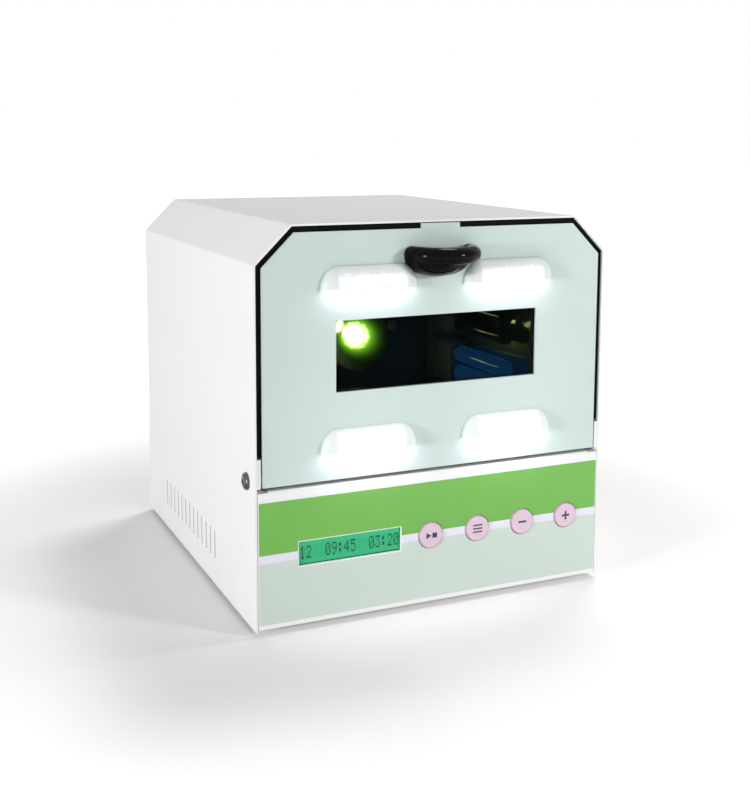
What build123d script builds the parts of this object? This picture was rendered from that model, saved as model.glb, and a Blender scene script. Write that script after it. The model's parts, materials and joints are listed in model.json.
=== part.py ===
from build123d import *
import math
import os

# Bench-top light curing cabinet with a drop-down door, a lamp chamber above and an
# electronics bay below. Every piece is drawn in the casing frame: X across, Y = 0 on the
# front plane and growing to the rear, Z = 0 on the underside of the casing. The assembly
# is moved once, when it is written, so that its origin is at the bottom centre of its box.
# All sizes are in millimetres.

# ---------------------------------------------------------------- casing
casing_width = 230.0
casing_height = 232.0
casing_depth = 250.0
cover_sheet = 1.2
corner_leg = 22.0              # leg of the 45 degree upper corners
bend_radius = 2.2
cover_flange = 12.0            # inward flanges, underneath and at the rear
flange_setback = 16.0          # the underside flanges start behind the front panel
sheet_fit = 0.4                # gap between a sheet panel and the cover round it

# ---------------------------------------------------------------- side vents
vent_count = 13
vent_pitch = 9.8
vent_first = 80.0              # first slot, from the front plane
vent_low = 17.0
vent_length = 18.0
vent_width = 1.8

# ---------------------------------------------------------------- tray, rear panel, feet
tray_sheet = 1.5
tray_lip = 14.0
panel_sheet = 1.5
foot_height = 3.0
foot_radius = 8.0
foot_taper = 1.0
foot_side_inset = 27.0
foot_end_inset = 22.0

# ---------------------------------------------------------------- front panel and print
fascia_height = 81.0
fascia_sheet = 1.5
fascia_lift = 1.0              # lower edge above the casing's lower edge
fascia_flange = 7.5
print_sheet = 0.25
print_low = 3.7
print_top_gap = 5.6            # bare strip above the print
print_side_margin = 0.6

# ---------------------------------------------------------------- display
display_side_inset = 58.3      # display middle from the casing's left side
display_z = 42.8
display_width = 64.6
display_height = 14.4
display_film_border = 0.6      # bare panel left round the display by the printed film
lens_margin = 2.4
lens_thickness = 1.2
display_step = 0.5              # the glass lies this far behind its metal frame
display_bezel_border = (3.2, 5.3)
display_bezel_depth = 4.6
display_board_border = (7.7, 10.8)
display_gap = 0.3
board_sheet = 1.6

# ---------------------------------------------------------------- keys
key_names = ("key_start", "key_program", "key_minus", "key_plus")
key_display_gap = 19.6          # from the display to the middle of the first key
key_side_inset = 24.7           # middle of the last key from the casing's right side
key_z = 42.4
key_radius = 8.0
key_fit = 0.35
key_proud = 1.3
key_edge = 0.7
key_travel = 0.6
key_flange = 1.3
key_flange_thickness = 1.0
key_play = 0.2                 # between the key's flange and the back of the front panel
key_stem_radius = 2.0
key_stem_length = 4.0
switch_gap = 0.3               # left between stem and switch when the key is fully in
switch_plunger = (1.7, 0.6)     # radius, height
switch_body = (6.0, 6.0, 3.4)
control_board_border = 10.45   # beyond the middles of the outer keys
control_board_height = 37.0
stud_radius = 2.0
stud_inset = 3.5

# ---------------------------------------------------------------- door
door_gap = 3.5                 # dark gap between door and cover, sides and top
sill_gap = 3.0                 # between the front panel and the door
door_sheet = 1.5
strike_half_width = 12.5
strike_gap = 0.6
window_half_width = 66.0
window_height = 41.5
window_lap = 6.0
window_thickness = 3.0
window_fit = 0.3
window_frame_sheet = 1.5
window_frame_wall = 5.0

# ---------------------------------------------------------------- pressed louvres
louvre_width = 60.0
louvre_height = 13.4
louvre_reach = 7.0
louvre_end = 10.5
louvre_offset = 45.7           # centre from the middle of the door
louvre_rise = 16.5             # lower lips above the door's lower edge
louvre_drop = 32.9             # upper lips below the door's top edge
louvre_sheet = 1.3

# ---------------------------------------------------------------- door pull
pull_drop = 14.9               # rim centre below the door's top edge
pull_radius = 18.7             # centre line of the rolled rim, seen from above
pull_roll = 5.0
pull_bowl_radius = 17.0
pull_bowl_depth = 9.7
pull_bowl_level = 3.4          # rim centre above the widest line of the bowl
pull_wall = 2.6
pull_screw_radius = 1.5
pull_screw_depth = 5.5
pull_screw_head = (2.8, 2.0)   # radius, height

# ---------------------------------------------------------------- door hinge
pivot_y = 4.0
pivot_rise = 4.0               # above the door's lower edge
pin_radius = 1.6
pin_fit = 0.08
pin_seat_fit = 0.02
pin_head = (2.3, 0.8)          # radius, thickness
pin_head_gap = 0.2
ear_sheet = 2.0
ear_depth = 9.5
ear_height = 16.5
bracket_sheet = 2.4
bracket_nose_front = 0.4
bracket_nose_rear = 8.5
bracket_rear = 23.0
bracket_drop = 7.0             # lower edge below the door's lower edge
bracket_sill_fit = 0.5
bracket_slope = (6.0, 6.5)     # run and drop of the sloped corner
fixing_setback = 10.2          # behind the pivot
fixing_drop = 2.9              # below the pivot
fixing_radius = 2.0
fixing_hole_fit = 0.2
fixing_head_radius = 3.8
fixing_crown_radius = 2.7
fixing_crown_rise = (0.8, 1.0)  # above the washer, at the crown's edge and middle
washer_radius = 5.2
washer_height = 1.8
washer_lip = 0.5
washer_seat = 0.6
washer_head_fit = 0.2

# ---------------------------------------------------------------- lamp chamber
liner_sheet = 1.0
liner_gap = 9.8                # between the inside of the cover and the inside of the liner
liner_rise = 10.0              # chamber floor above the front panel
liner_roof_gap = 12.8          # between the inside of the cover and the chamber's roof
liner_corner = 12.0
liner_rear_space = 57.3        # from the face of the back wall to the rear panel
liner_flange_front = 6.0
seal_clearance = 0.4           # between the closed door and the seal
seal_wall_fit = 0.3
seal_floor_drop = 2.4
sill_seal_sheet = 0.8
sill_seal_front = 0.4
sill_seal_swing_fit = 1.6      # behind the swing of the door's lower edge
hinge_pocket_fit = 0.4

# ---------------------------------------------------------------- chamber supports
support_sheet = 1.5
support_inset = 3.0            # from the chamber's side to the outside of the web
support_flange = 12.0
support_front = 30.0
support_overhang = 15.0        # behind the chamber's back wall
support_hole = (52.0, 24.0)    # obround holes for air and wiring
support_hole_count = 5
support_hole_pitch = 33.0

# ---------------------------------------------------------------- twin-tube UV lamps
tube_radius = 6.0
tube_pitch = 14.5
tube_length = 71.0
tube_cap_depth = 3.0
tube_bridge_radius = 3.0
tube_bridge_inset = 9.6
lamp_rises = {"lower": 21.0, "upper": 58.5}    # lamp middles above the chamber floor
lamp_base = (13.5, 22.0, 31.0)
lamp_base_corner = 3.0
lamp_side_gap = 0.75           # between a lamp's base and the chamber's side
lamp_holder_border = 1.5
lamp_holder_depth = 13.0

# ---------------------------------------------------------------- halogen lamps
halogen_share = 0.5            # of the free height below the fan that is left under the lamps
halogen_rim_radius = 24.6
halogen_side_gap = 5.4         # half the gap between the two rims
halogen_proud = 2.5            # rims in front of the back wall
halogen_rim_band = 2.0
halogen_bowl_length = 24.0
halogen_outer_bulge = (0.82, 0.55)    # middle of the bowl's curve, in rim radii and bowl lengths
halogen_inner_bulge = (0.72, 0.5)
halogen_neck_radius = 7.0
halogen_length = 42.0
halogen_wall = 1.6
halogen_hole_fit = 0.7
capsule_radius = 4.6
capsule_length = 17.0
capsule_round = 3.2
capsule_seat = 4.0             # behind the bowl, inside the neck
channel_wall = 1.5
channel_end_gap = 3.5          # necks reach this far behind the channel's face
channel_side_gap = 5.4         # beyond the outer rims
channel_half_height = 17.0
channel_foot = 9.0
neck_fit = 0.1

# ---------------------------------------------------------------- turntable
turntable_y = 100.0
turntable_radius = 64.0
turntable_sheet = 1.5
turntable_rim = 2.0
turntable_lift = 3.0
hub_radius = 8.0
shaft_radius = 2.5
shaft_fit = 0.08
shaft_hole_fit = 0.6
shaft_depth = 14.0
shaft_end_gap = 1.0
motor_radius = 25.0
motor_height = 18.0
motor_ear_reach = 33.0
motor_ear_half_width = 5.0
motor_ear_sheet = 1.5

# ---------------------------------------------------------------- fan
fan_drop = 28.0                # below the chamber's roof
fan_size = 60.0
fan_depth = 25.0
fan_bore = 28.5
fan_corner = 4.0
fan_hole_pitch = 50.0
fan_hole_radius = 2.2
fan_screw_radius = 2.0
fan_screw_grip = 8.0
fan_screw_head = (3.6, 2.0)
rotor_hub = 12.5
rotor_depth = 19.0
blade_count = 7
blade_tip_gap = 0.6
blade_thickness = 1.2
blade_pitch_angle = 38.0
blade_chord = 16.0
blade_root = 2.0               # sunk into the hub, and past the tips before they are trimmed
stator_radius = 12.0
stator_depth = 3.0
stator_arm = 3.0
stator_arm_sink = 1.0          # into the wall of the duct
rotor_gap = 0.5
spindle_radius = 1.5
spindle_fit = 0.06
spindle_length = 9.0
grille_rings = ((8.0, 12.0), (15.5, 19.5), (23.0, 27.0))
grille_bar = 3.0
liner_slot = (46.0, 3.0)
liner_slot_count = 5
liner_slot_pitch = 7.0

# ---------------------------------------------------------------- rear vents and screws
rear_slot_count = 9
rear_slot_pitch = 8.0
rear_slot_x = 54.0
rear_slot_z = 44.0
rear_slot = (26.0, 2.4)
screw_radius = 1.5
screw_head = (2.8, 2.2)
screw_grip = 5.0
rear_screw_low = 25.0
rear_screw_top_gap = 37.0
rear_screw_top_x = 60.0
cover_screw_inset = 40.0
cover_screw_head = (2.8, 1.8)

# ---------------------------------------------------------------- mains inlet and switch
inlet_side_inset = 55.0        # inlet middle from the casing's left side
inlet_z = 42.0
inlet_flange = (33.0, 60.0, 2.0)
inlet_body = (28.0, 50.0, 23.0)
inlet_fit = 0.3
socket_size = (24.0, 16.4, 16.0)
socket_z = -14.0               # socket centre from the middle of the inlet
socket_corner = 4.0
blade_size = (2.0, 4.0, 9.5)
blade_spread = 7.0
blade_rise = 2.0
fuse_front = (20.0, 7.0, 1.2)
fuse_z = 3.0
rocker_opening = (20.0, 13.0, 9.0)
rocker_z = 17.0
rocker_fit = 0.5
rocker_tilt = 8.0
rocker_axis_depth = 1.0
rocker_taper = 1.0
rocker_edge_dip = 0.6
rocker_depth = 4.5
rocker_proud = 2.0
rocker_middle_dip = 0.9

# ---------------------------------------------------------------- bay electronics
ballast_box = (62.0, 110.0, 30.0)
ballast_side_gap = 1.0         # from the right support's foot
ballast_rear_gap = 40.3        # from its foot to the rear panel
ballast_foot = 7.0
ballast_foot_sheet = 1.5
ballast_fins = 6
ballast_fin_depth = 3.0
transformer_core = (54.0, 42.0, 46.0)
transformer_side_gap = 14.0    # from the left support's foot
transformer_rear_gap = 16.8    # from its foot to the mains inlet
transformer_coil = (38.0, 58.0, 30.0)
coil_corner = 4.0
transformer_foot = (54.0, 62.0, 2.0)

# ---------------------------------------------------------------- catch and interlock
magnet_size = (28.0, 11.0, 8.0)
magnet_fit = 0.4
interlock_inset = 24.0         # from the chamber's right side
interlock_lift = 4.0           # plunger axis above the liner's roof
interlock_box = (15.0, 12.0, 8.0)
interlock_bore = 9.0
plunger_radius = 1.5
plunger_fit = 0.08
plunger_hole_fit = 0.5
plunger_length = 9.0

# ---------------------------------------------------------------- worked out from the above
half_width = casing_width / 2
inner_half = half_width - cover_sheet
inner_top = casing_height - cover_sheet
panel_back = casing_depth - cover_sheet
panel_front = panel_back - panel_sheet
tray_floor = cover_sheet + tray_sheet

door_half = inner_half - door_gap
door_top = inner_top - door_gap
door_low = fascia_height + sill_gap
window_low = (door_low + door_top - window_height) / 2
window_high = (door_low + door_top + window_height) / 2
display_x = -half_width + display_side_inset
key_first_x = display_x + display_width / 2 + key_display_gap
key_last_x = half_width - key_side_inset
key_pitch = (key_last_x - key_first_x) / (len(key_names) - 1)
pull_z = door_top - pull_drop

pivot_z = door_low + pivot_rise
fixing_y = pivot_y + fixing_setback
fixing_z = pivot_z - fixing_drop
pin_head_side = door_half - ear_sheet - pin_head_gap
ear_swing = math.hypot(ear_depth - pivot_y, ear_height - pivot_rise)
pocket_side = pin_head_side - pin_head[1] - hinge_pocket_fit
pocket_top = pivot_z + ear_swing + hinge_pocket_fit
sill_seal_riser = pivot_y + pivot_rise + sill_seal_swing_fit

liner_half = inner_half - liner_gap
liner_floor = fascia_height + liner_rise
liner_roof = inner_top - liner_roof_gap
liner_depth = panel_front - liner_rear_space
liner_back = liner_depth + liner_sheet
bay_roof = liner_floor - liner_sheet
roof_top = liner_roof + liner_sheet
seal_front = door_sheet + seal_clearance
support_rear = liner_depth + support_overhang
support_x = liner_half - support_inset
support_inner = support_x - support_flange
interlock_x = liner_half - interlock_inset

tube_x = liner_half - lamp_side_gap - lamp_base[0] / 2
tube_rear = liner_depth - lamp_holder_depth - lamp_base[1]
tube_front = tube_rear - tube_length
halogen_offset = halogen_rim_radius + halogen_side_gap
fan_z = liner_roof - fan_drop
lamp_low = liner_floor + halogen_rim_radius + halogen_hole_fit
lamp_high = fan_z - fan_size / 2 - channel_half_height
halogen_z = lamp_low + halogen_share * (lamp_high - lamp_low)
halogen_rim_front = liner_depth - halogen_proud
channel_face_y = halogen_rim_front + halogen_length - channel_end_gap
channel_half_width = halogen_offset + halogen_rim_radius + channel_side_gap

inlet_x = -half_width + inlet_side_inset
inlet_front = panel_back - inlet_body[2]
inlet_face = panel_back + inlet_flange[2]

overall_front = -(pull_radius + pull_roll)
overall_back = casing_depth + screw_head[1]
to_part_frame = Pos(0, -(overall_front + overall_back) / 2, foot_height)


# ---------------------------------------------------------------- shape helpers
def block(x, y, z):
    """Box between a low and a high value on each axis."""
    middle = [(low + high) / 2 for low, high in (x, y, z)]
    return Pos(*middle) * Box(*(high - low for low, high in (x, y, z)))


def centred_block(size, centre_x, centre_z, front):
    """Box of size (x, z, y) whose front face is at a given Y."""
    across, tall, deep = size
    return block((centre_x - across / 2, centre_x + across / 2), (front, front + deep),
                 (centre_z - tall / 2, centre_z + tall / 2))


def rod_x(radius, left, right, y, z):
    return Pos((left + right) / 2, y, z) * Rot(0, 90, 0) * Cylinder(radius, abs(right - left))


def rod_y(radius, front, back, x, z):
    return Pos(x, (front + back) / 2, z) * Rot(90, 0, 0) * Cylinder(radius, abs(back - front))


def rod_z(radius, low, high, x, y):
    return Pos(x, y, (low + high) / 2) * Cylinder(radius, abs(high - low))


def inset_leg(leg, wall):
    """Leg of a 45 degree corner after the outline has moved inwards by a wall."""
    return leg - wall * (2 - math.sqrt(2))


def gable(half, low, high, leg, bend=0.0):
    """Upright outline with 45 degree upper corners, its four upper bends rounded."""
    face = Polygon((-half, low), (half, low), (half, high - leg), (half - leg, high),
                   (-half + leg, high), (-half, high - leg))
    if bend > 0:
        bends = [corner for corner in face.vertices() if corner.Y > (low + high) / 2]
        face = fillet(bends, bend)
    return face


def upright(face, front, back):
    """Solid from an X-Z outline, between two planes across the depth."""
    return Pos(0, front, 0) * extrude(Plane.XZ * face, amount=front - back)


def sideways(face, left, right):
    """Solid from a Y-Z outline, between two planes across the width."""
    return Pos(left, 0, 0) * extrude(Plane.YZ * face, amount=right - left)


def turned(points, arc=360):
    """Solid of revolution about Z from a closed outline of radius and height."""
    return revolve(Plane.XZ * Polygon(*points), Axis.Z, arc)


def both_sides(shape):
    return shape + mirror(shape, about=Plane.YZ)


# ---------------------------------------------------------------- casing
def outer_cover():
    """Folded wrap: sides, 45 degree corners and top, with flanges below and at the rear."""
    inner_leg = inset_leg(corner_leg, cover_sheet)
    shell = upright(gable(half_width, 0, casing_height, corner_leg, bend_radius), 0, casing_depth)
    shell -= upright(gable(inner_half, cover_sheet, inner_top, inner_leg, bend_radius - cover_sheet),
                     0, panel_back)
    rear_leg = inset_leg(inner_leg, cover_flange - cover_sheet)
    rear_half = half_width - cover_flange
    shell -= upright(gable(rear_half, 0, casing_height - cover_flange, rear_leg), 0, casing_depth)
    shell -= block((-inner_half, inner_half), (0, flange_setback), (0, cover_sheet))
    slots = [vent_slot(vent_first + index * vent_pitch) for index in range(vent_count)]
    shell -= slots
    shell -= rod_x(fixing_radius + fixing_hole_fit, -half_width, half_width, fixing_y, fixing_z)
    shell -= [rod_y(screw_radius, panel_back, casing_depth, x, z) for x, z in rear_screw_places()]
    shell -= [rod_z(screw_radius, 0, cover_sheet, x, y) for x, y in cover_screw_places()]
    return shell


def vent_slot(y):
    middle = vent_low + vent_length / 2
    face = Pos(y, middle) * Rectangle(vent_width, vent_length)
    return sideways(face, -half_width, half_width)


def rear_screw_places():
    side = half_width - cover_flange / 2
    high = casing_height - rear_screw_top_gap
    levels = (rear_screw_low, (rear_screw_low + high) / 2, high)
    places = [(sign * side, z) for sign in (-1, 1) for z in levels]
    top = casing_height - cover_flange / 2
    return places + [(sign * rear_screw_top_x, top) for sign in (-1, 1)]


def cover_screw_places():
    side = half_width - cover_flange / 2
    rows = (cover_screw_inset, casing_depth / 2, casing_depth - cover_screw_inset)
    return [(sign * side, y) for sign in (-1, 1) for y in rows]


def base_tray():
    """Floor of the electronics bay with an upturned lip all round."""
    side = inner_half - sheet_fit
    tray = block((-side, side), (fascia_sheet, panel_front), (cover_sheet, tray_lip))
    tray -= block((-side + tray_sheet, side - tray_sheet),
                  (fascia_sheet + tray_sheet, panel_front - tray_sheet), (tray_floor, tray_lip))
    tray -= [rod_z(screw_radius, cover_sheet, tray_floor, x, y) for x, y in cover_screw_places()]
    inlet_low = inlet_z - inlet_flange[1] / 2
    if inlet_low < tray_lip:
        half = inlet_flange[0] / 2 + inlet_fit
        tray -= block((inlet_x - half, inlet_x + half), (panel_front - tray_sheet, panel_front),
                      (inlet_low, tray_lip))
    return tray


def rubber_feet():
    """Four turned rubber feet under the tray."""
    profile = [(0, -foot_height), (foot_radius - foot_taper, -foot_height),
               (foot_radius, cover_sheet), (0, cover_sheet)]
    foot = turned(profile)
    places = [(sign * (half_width - foot_side_inset), y) for sign in (-1, 1)
              for y in (foot_end_inset, casing_depth - foot_end_inset)]
    return Part() + [Pos(x, y, 0) * foot for x, y in places]


def screw(radius, length, head):
    """Cheese-head screw along +Z, its head's seat at Z = 0 and its head below."""
    head_radius, head_height = head
    return rod_z(head_radius, -head_height, 0, 0, 0) + rod_z(radius, 0, length, 0, 0)


def cover_screws():
    single = screw(screw_radius, screw_grip, cover_screw_head)
    return Part() + [Pos(x, y, 0) * single for x, y in cover_screw_places()]


def rear_screws():
    single = Rot(90, 0, 0) * screw(screw_radius, screw_grip, screw_head)
    return Part() + [Pos(x, casing_depth, z) * single for x, z in rear_screw_places()]


# ---------------------------------------------------------------- rear panel and fan
def fan_grille():
    """Ring slots in line with the fan, left in one piece by a cross of bars."""
    rings = Sketch() + [Circle(outer) - Circle(inner) for inner, outer in grille_rings]
    span = 2 * fan_bore
    rings -= Rectangle(span, grille_bar, rotation=45) + Rectangle(span, grille_bar, rotation=-45)
    return Pos(0, fan_z) * rings


def rear_slots():
    face = Pos(rear_slot_x, rear_slot_z) * Rectangle(rear_slot[1], rear_slot[0])
    span = (rear_slot_count - 1) * rear_slot_pitch
    return [Pos(index * rear_slot_pitch - span / 2, 0) * face for index in range(rear_slot_count)]


def fan_screw_places():
    half = fan_hole_pitch / 2
    return [(x, fan_z + z) for x in (-half, half) for z in (-half, half)]


def rear_panel():
    inner_leg = inset_leg(corner_leg, cover_sheet + sheet_fit)
    side = inner_half - sheet_fit
    face = gable(side, cover_sheet + sheet_fit, inner_top - sheet_fit, inner_leg)
    face -= fan_grille()
    face -= rear_slots()
    face -= Pos(inlet_x, inlet_z) * Rectangle(inlet_body[0] + 2 * inlet_fit,
                                              inlet_body[1] + 2 * inlet_fit)
    panel = upright(face, panel_front, panel_back)
    panel -= [rod_y(screw_radius, panel_front, panel_back, x, z) for x, z in rear_screw_places()]
    panel -= [rod_y(fan_hole_radius, panel_front, panel_back, x, z) for x, z in fan_screw_places()]
    return panel


def fan_housing():
    """Square frame with a round duct, four arms and the stator that carries the spindle."""
    front = panel_front - fan_depth
    face = RectangleRounded(fan_size, fan_size, fan_corner) - Circle(fan_bore)
    frame = upright(Pos(0, fan_z) * face, front, panel_front)
    frame -= [rod_y(fan_hole_radius, front, panel_front, x, z) for x, z in fan_screw_places()]
    reach = 2 * (fan_bore + stator_arm_sink)
    arms = Rectangle(reach, stator_arm) + Rectangle(stator_arm, reach)
    stator = upright(Pos(0, fan_z) * (arms + Circle(stator_radius)),
                     panel_front - stator_depth, panel_front)
    spindle_tip = panel_front - stator_depth - spindle_length
    return frame + stator + rod_y(spindle_radius, spindle_tip, panel_front, 0, fan_z)


def fan_rotor():
    """Hub with pitched blades, trimmed to the duct and bored for the spindle."""
    back = panel_front - stator_depth - rotor_gap
    front = back - rotor_depth
    middle = (front + back) / 2
    rotor = Rot(90, 0, 0) * Cylinder(rotor_hub, rotor_depth)
    tip = fan_bore - blade_tip_gap
    blade = Pos(0, 0, (rotor_hub + tip) / 2) * Rot(0, 0, blade_pitch_angle) * Box(
        blade_chord, blade_thickness, tip - rotor_hub + 2 * blade_root)
    for index in range(blade_count):
        rotor += Rot(0, index * 360 / blade_count, 0) * blade
    rotor &= Rot(90, 0, 0) * Cylinder(tip, rotor_depth)
    rotor = Pos(0, middle, fan_z) * rotor
    bore_tip = back - spindle_length - rotor_gap
    return rotor - rod_y(spindle_radius + spindle_fit, bore_tip, back, 0, fan_z)


def fan_screws():
    single = Rot(90, 0, 0) * screw(fan_screw_radius, fan_screw_grip, fan_screw_head)
    return Part() + [Pos(x, panel_back, z) * single for x, z in fan_screw_places()]


# ---------------------------------------------------------------- mains inlet and rocker
def power_inlet():
    """Combined module: socket with three blades, fuse drawer front and rocker well."""
    module = centred_block((inlet_body[0], inlet_body[1], inlet_body[2] + inlet_flange[2]),
                           inlet_x, inlet_z, inlet_front)
    module += centred_block(inlet_flange, inlet_x, inlet_z, panel_back)
    socket_face = Pos(inlet_x, inlet_z + socket_z) * RectangleRounded(
        socket_size[0], socket_size[1], socket_corner)
    module -= upright(socket_face, inlet_face - socket_size[2], inlet_face)
    module -= centred_block(rocker_opening, inlet_x, inlet_z + rocker_z,
                            inlet_face - rocker_opening[2])
    for spread, rise in ((-blade_spread, -blade_rise), (0, blade_rise), (blade_spread, -blade_rise)):
        module += centred_block(blade_size, inlet_x + spread, inlet_z + socket_z + rise,
                                inlet_face - socket_size[2])
    across, tall, deep = fuse_front
    module += centred_block(fuse_front, inlet_x, inlet_z + fuse_z, inlet_face)
    grip = centred_block((across / 3, tall / 3, deep), inlet_x, inlet_z + fuse_z, inlet_face)
    return module - grip


def rocker_key():
    """Switch key with a shallow V face, shown tipped to its off side."""
    half = rocker_opening[1] / 2 - rocker_fit
    edge = rocker_proud - rocker_edge_dip
    profile = Polygon((-rocker_depth, -half + rocker_taper), (edge, -half),
                      (rocker_proud - rocker_middle_dip, 0), (edge, half),
                      (-rocker_depth, half - rocker_taper))
    across = rocker_opening[0] / 2 - rocker_fit
    key = Rot(-rocker_tilt, 0, 0) * sideways(profile, -across, across)
    return Pos(inlet_x, inlet_face - rocker_axis_depth, inlet_z + rocker_z) * key


# ---------------------------------------------------------------- front panel and controls
def key_places():
    return [(key_first_x + index * key_pitch, key_z) for index in range(len(key_names))]


def display_opening(border=0.0):
    size = display_width + 2 * border, display_height + 2 * border
    return Pos(display_x, display_z) * Rectangle(*size)


def key_openings():
    return [Pos(x, z) * Circle(key_radius + key_fit) for x, z in key_places()]


def board_centre():
    places = key_places()
    return (places[0][0] + places[-1][0]) / 2, key_z


def control_board():
    span = (len(key_names) - 1) * key_pitch
    return span + 2 * control_board_border, control_board_height, board_sheet


def display_board():
    across, tall = display_board_border
    return display_width + 2 * across, display_height + 2 * tall, board_sheet


def board_studs(centre, board, back):
    """Four studs from the back of the front panel to the corners of a board."""
    across = board[0] / 2 - stud_inset
    tall = board[1] / 2 - stud_inset
    return [rod_y(stud_radius, fascia_sheet, back, centre[0] + x, centre[1] + z)
            for x in (-across, across) for z in (-tall, tall)]


def display_board_front():
    return fascia_sheet + lens_thickness + display_gap + display_bezel_depth


def control_board_front():
    stem_end = key_stem_end()
    return stem_end + key_travel + switch_gap + switch_plunger[1] + switch_body[2]


def key_stem_end():
    return fascia_sheet + key_play + key_flange_thickness + key_stem_length


def front_fascia():
    """Lower front panel with a top flange, openings and board studs."""
    side = inner_half - sheet_fit
    face = Pos(0, (fascia_lift + fascia_height) / 2) * Rectangle(
        2 * side, fascia_height - fascia_lift)
    face -= display_opening()
    face -= key_openings()
    panel = upright(face, 0, fascia_sheet)
    panel += block((-side, side), (fascia_sheet, fascia_flange),
                   (fascia_height - fascia_sheet, fascia_height))
    panel += board_studs((display_x, display_z), display_board(), display_board_front())
    panel += board_studs(board_centre(), control_board(), control_board_front())
    return panel


def front_overlay():
    """Printed film on the front panel, cut out for the display and the keys."""
    side = inner_half - sheet_fit - print_side_margin
    print_high = fascia_height - print_top_gap
    face = Pos(0, (print_low + print_high) / 2) * Rectangle(2 * side, print_high - print_low)
    face -= display_opening(display_film_border)
    face -= key_openings()
    return upright(face, -print_sheet, 0)


def display_lens():
    size = (display_width + 2 * lens_margin, display_height + 2 * lens_margin, lens_thickness)
    return centred_block(size, display_x, display_z, fascia_sheet)


def display_module():
    """Metal-framed character display on its board."""
    front = fascia_sheet + lens_thickness + display_gap
    border_x, border_z = display_bezel_border
    size = (display_width + 2 * border_x, display_height + 2 * border_z, display_bezel_depth)
    bezel = centred_block(size, display_x, display_z, front)
    bezel -= centred_block((display_width, display_height, display_step), display_x, display_z,
                           front)
    board = centred_block(display_board(), display_x, display_z, display_board_front())
    return bezel + board


def control_board_assembly():
    """Board behind the keys with one small push switch for each."""
    front = control_board_front()
    board = centred_block(control_board(), board_centre()[0], board_centre()[1], front)
    plunger_radius, plunger_height = switch_plunger
    for x, z in key_places():
        board += centred_block(switch_body, x, z, front - switch_body[2])
        board += rod_y(plunger_radius, front - switch_body[2] - plunger_height, front, x, z)
    return board


def key_cap(x, z):
    """Round key with a bevelled edge, a retaining flange and a stem."""
    flange_front = fascia_sheet + key_play
    cap = rod_y(key_radius, -key_proud, flange_front, x, z)
    rim = cap.edges().filter_by(GeomType.CIRCLE).sort_by(Axis.Y)[0]
    cap = chamfer(rim, key_edge)
    cap += rod_y(key_radius + key_fit + key_flange, flange_front,
                 flange_front + key_flange_thickness, x, z)
    return cap + rod_y(key_stem_radius, flange_front, key_stem_end(), x, z)


# ---------------------------------------------------------------- door
def louvre_form(width, height, reach, end_radius):
    """Rounded hood on its lip line: a straight half-ellipse run with a turned end each side."""
    flat = width - 2 * end_radius
    outline = [Line((0, 0), (end_radius, 0)),
               EllipticalCenterArc((0, 0), end_radius, height, start_angle=0, arc_size=90),
               Line((0, height), (0, 0))]
    quarter = Plane.XZ * make_face(outline)
    end = Pos(flat / 2, 0, 0) * Rot(0, 0, -90) * revolve(quarter, Axis.Z, 180)
    run = extrude(Rot(0, 0, 90) * quarter, amount=flat, dir=(1, 0, 0))
    run = Pos(-flat / 2, 0, 0) * run
    run += mirror(run, about=Plane.XZ)
    return scale(run + end + mirror(end, about=Plane.YZ), by=(1, reach / end_radius, 1))


def louvre_places():
    levels = (door_low + louvre_rise, door_top - louvre_drop)
    return [(sign * louvre_offset, level) for sign in (-1, 1) for level in levels]


def door_panel():
    """Folded door: pressed louvres, window opening, strike tab and two hinge ears."""
    door_leg = inset_leg(corner_leg, cover_sheet + door_gap)
    face = gable(door_half, door_low, door_top, door_leg)
    strike_top = inner_top - strike_gap
    face += Pos(0, (door_top + strike_top) / 2) * Rectangle(2 * strike_half_width,
                                                            strike_top - door_top)
    face -= Pos(0, (window_low + window_high) / 2) * Rectangle(
        2 * window_half_width, window_high - window_low)
    panel = upright(face, 0, door_sheet)
    ear = block((door_half - ear_sheet, door_half), (0, ear_depth),
                (door_low, door_low + ear_height))
    rear_edges = ear.edges().filter_by(Axis.X).sort_by(Axis.Y)[-2:]
    panel += both_sides(fillet(rear_edges, ear_sheet))
    panel -= rod_x(pin_radius + pin_fit, -half_width, half_width, pivot_y, pivot_z)
    outer = louvre_form(louvre_width, louvre_height, louvre_reach, louvre_end)
    outer &= block((-louvre_width, louvre_width), (-2 * louvre_reach, door_sheet / 2),
                   (-louvre_height, 2 * louvre_height))
    inner = louvre_form(louvre_width - 2 * louvre_sheet, louvre_height - louvre_sheet,
                        louvre_reach - louvre_sheet, louvre_end - louvre_sheet)
    for x, z in louvre_places():
        panel += Pos(x, 0, z) * outer
    for x, z in louvre_places():
        panel -= Pos(x, 0, z) * inner
    panel -= [rod_y(pull_screw_radius, 0, door_sheet, x, pull_z) for x in (-pull_radius, pull_radius)]
    return panel


def filter_window():
    half = window_half_width + window_lap
    return block((-half, half), (door_sheet, door_sheet + window_thickness),
                 (window_low - window_lap, window_high + window_lap))


def window_frame():
    """Frame on the inside of the door that holds the filter window in a rebate."""
    pocket = window_half_width + window_lap + window_fit
    pocket_low = window_low - window_lap - window_fit
    pocket_high = window_high + window_lap + window_fit
    back = door_sheet + window_thickness + window_frame_sheet
    frame = block((-pocket - window_frame_wall, pocket + window_frame_wall), (door_sheet, back),
                  (pocket_low - window_frame_wall, pocket_high + window_frame_wall))
    frame -= block((-pocket, pocket), (door_sheet, door_sheet + window_thickness),
                   (pocket_low, pocket_high))
    frame -= block((-window_half_width, window_half_width), (door_sheet, back),
                   (window_low, window_high))
    return frame


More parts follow.
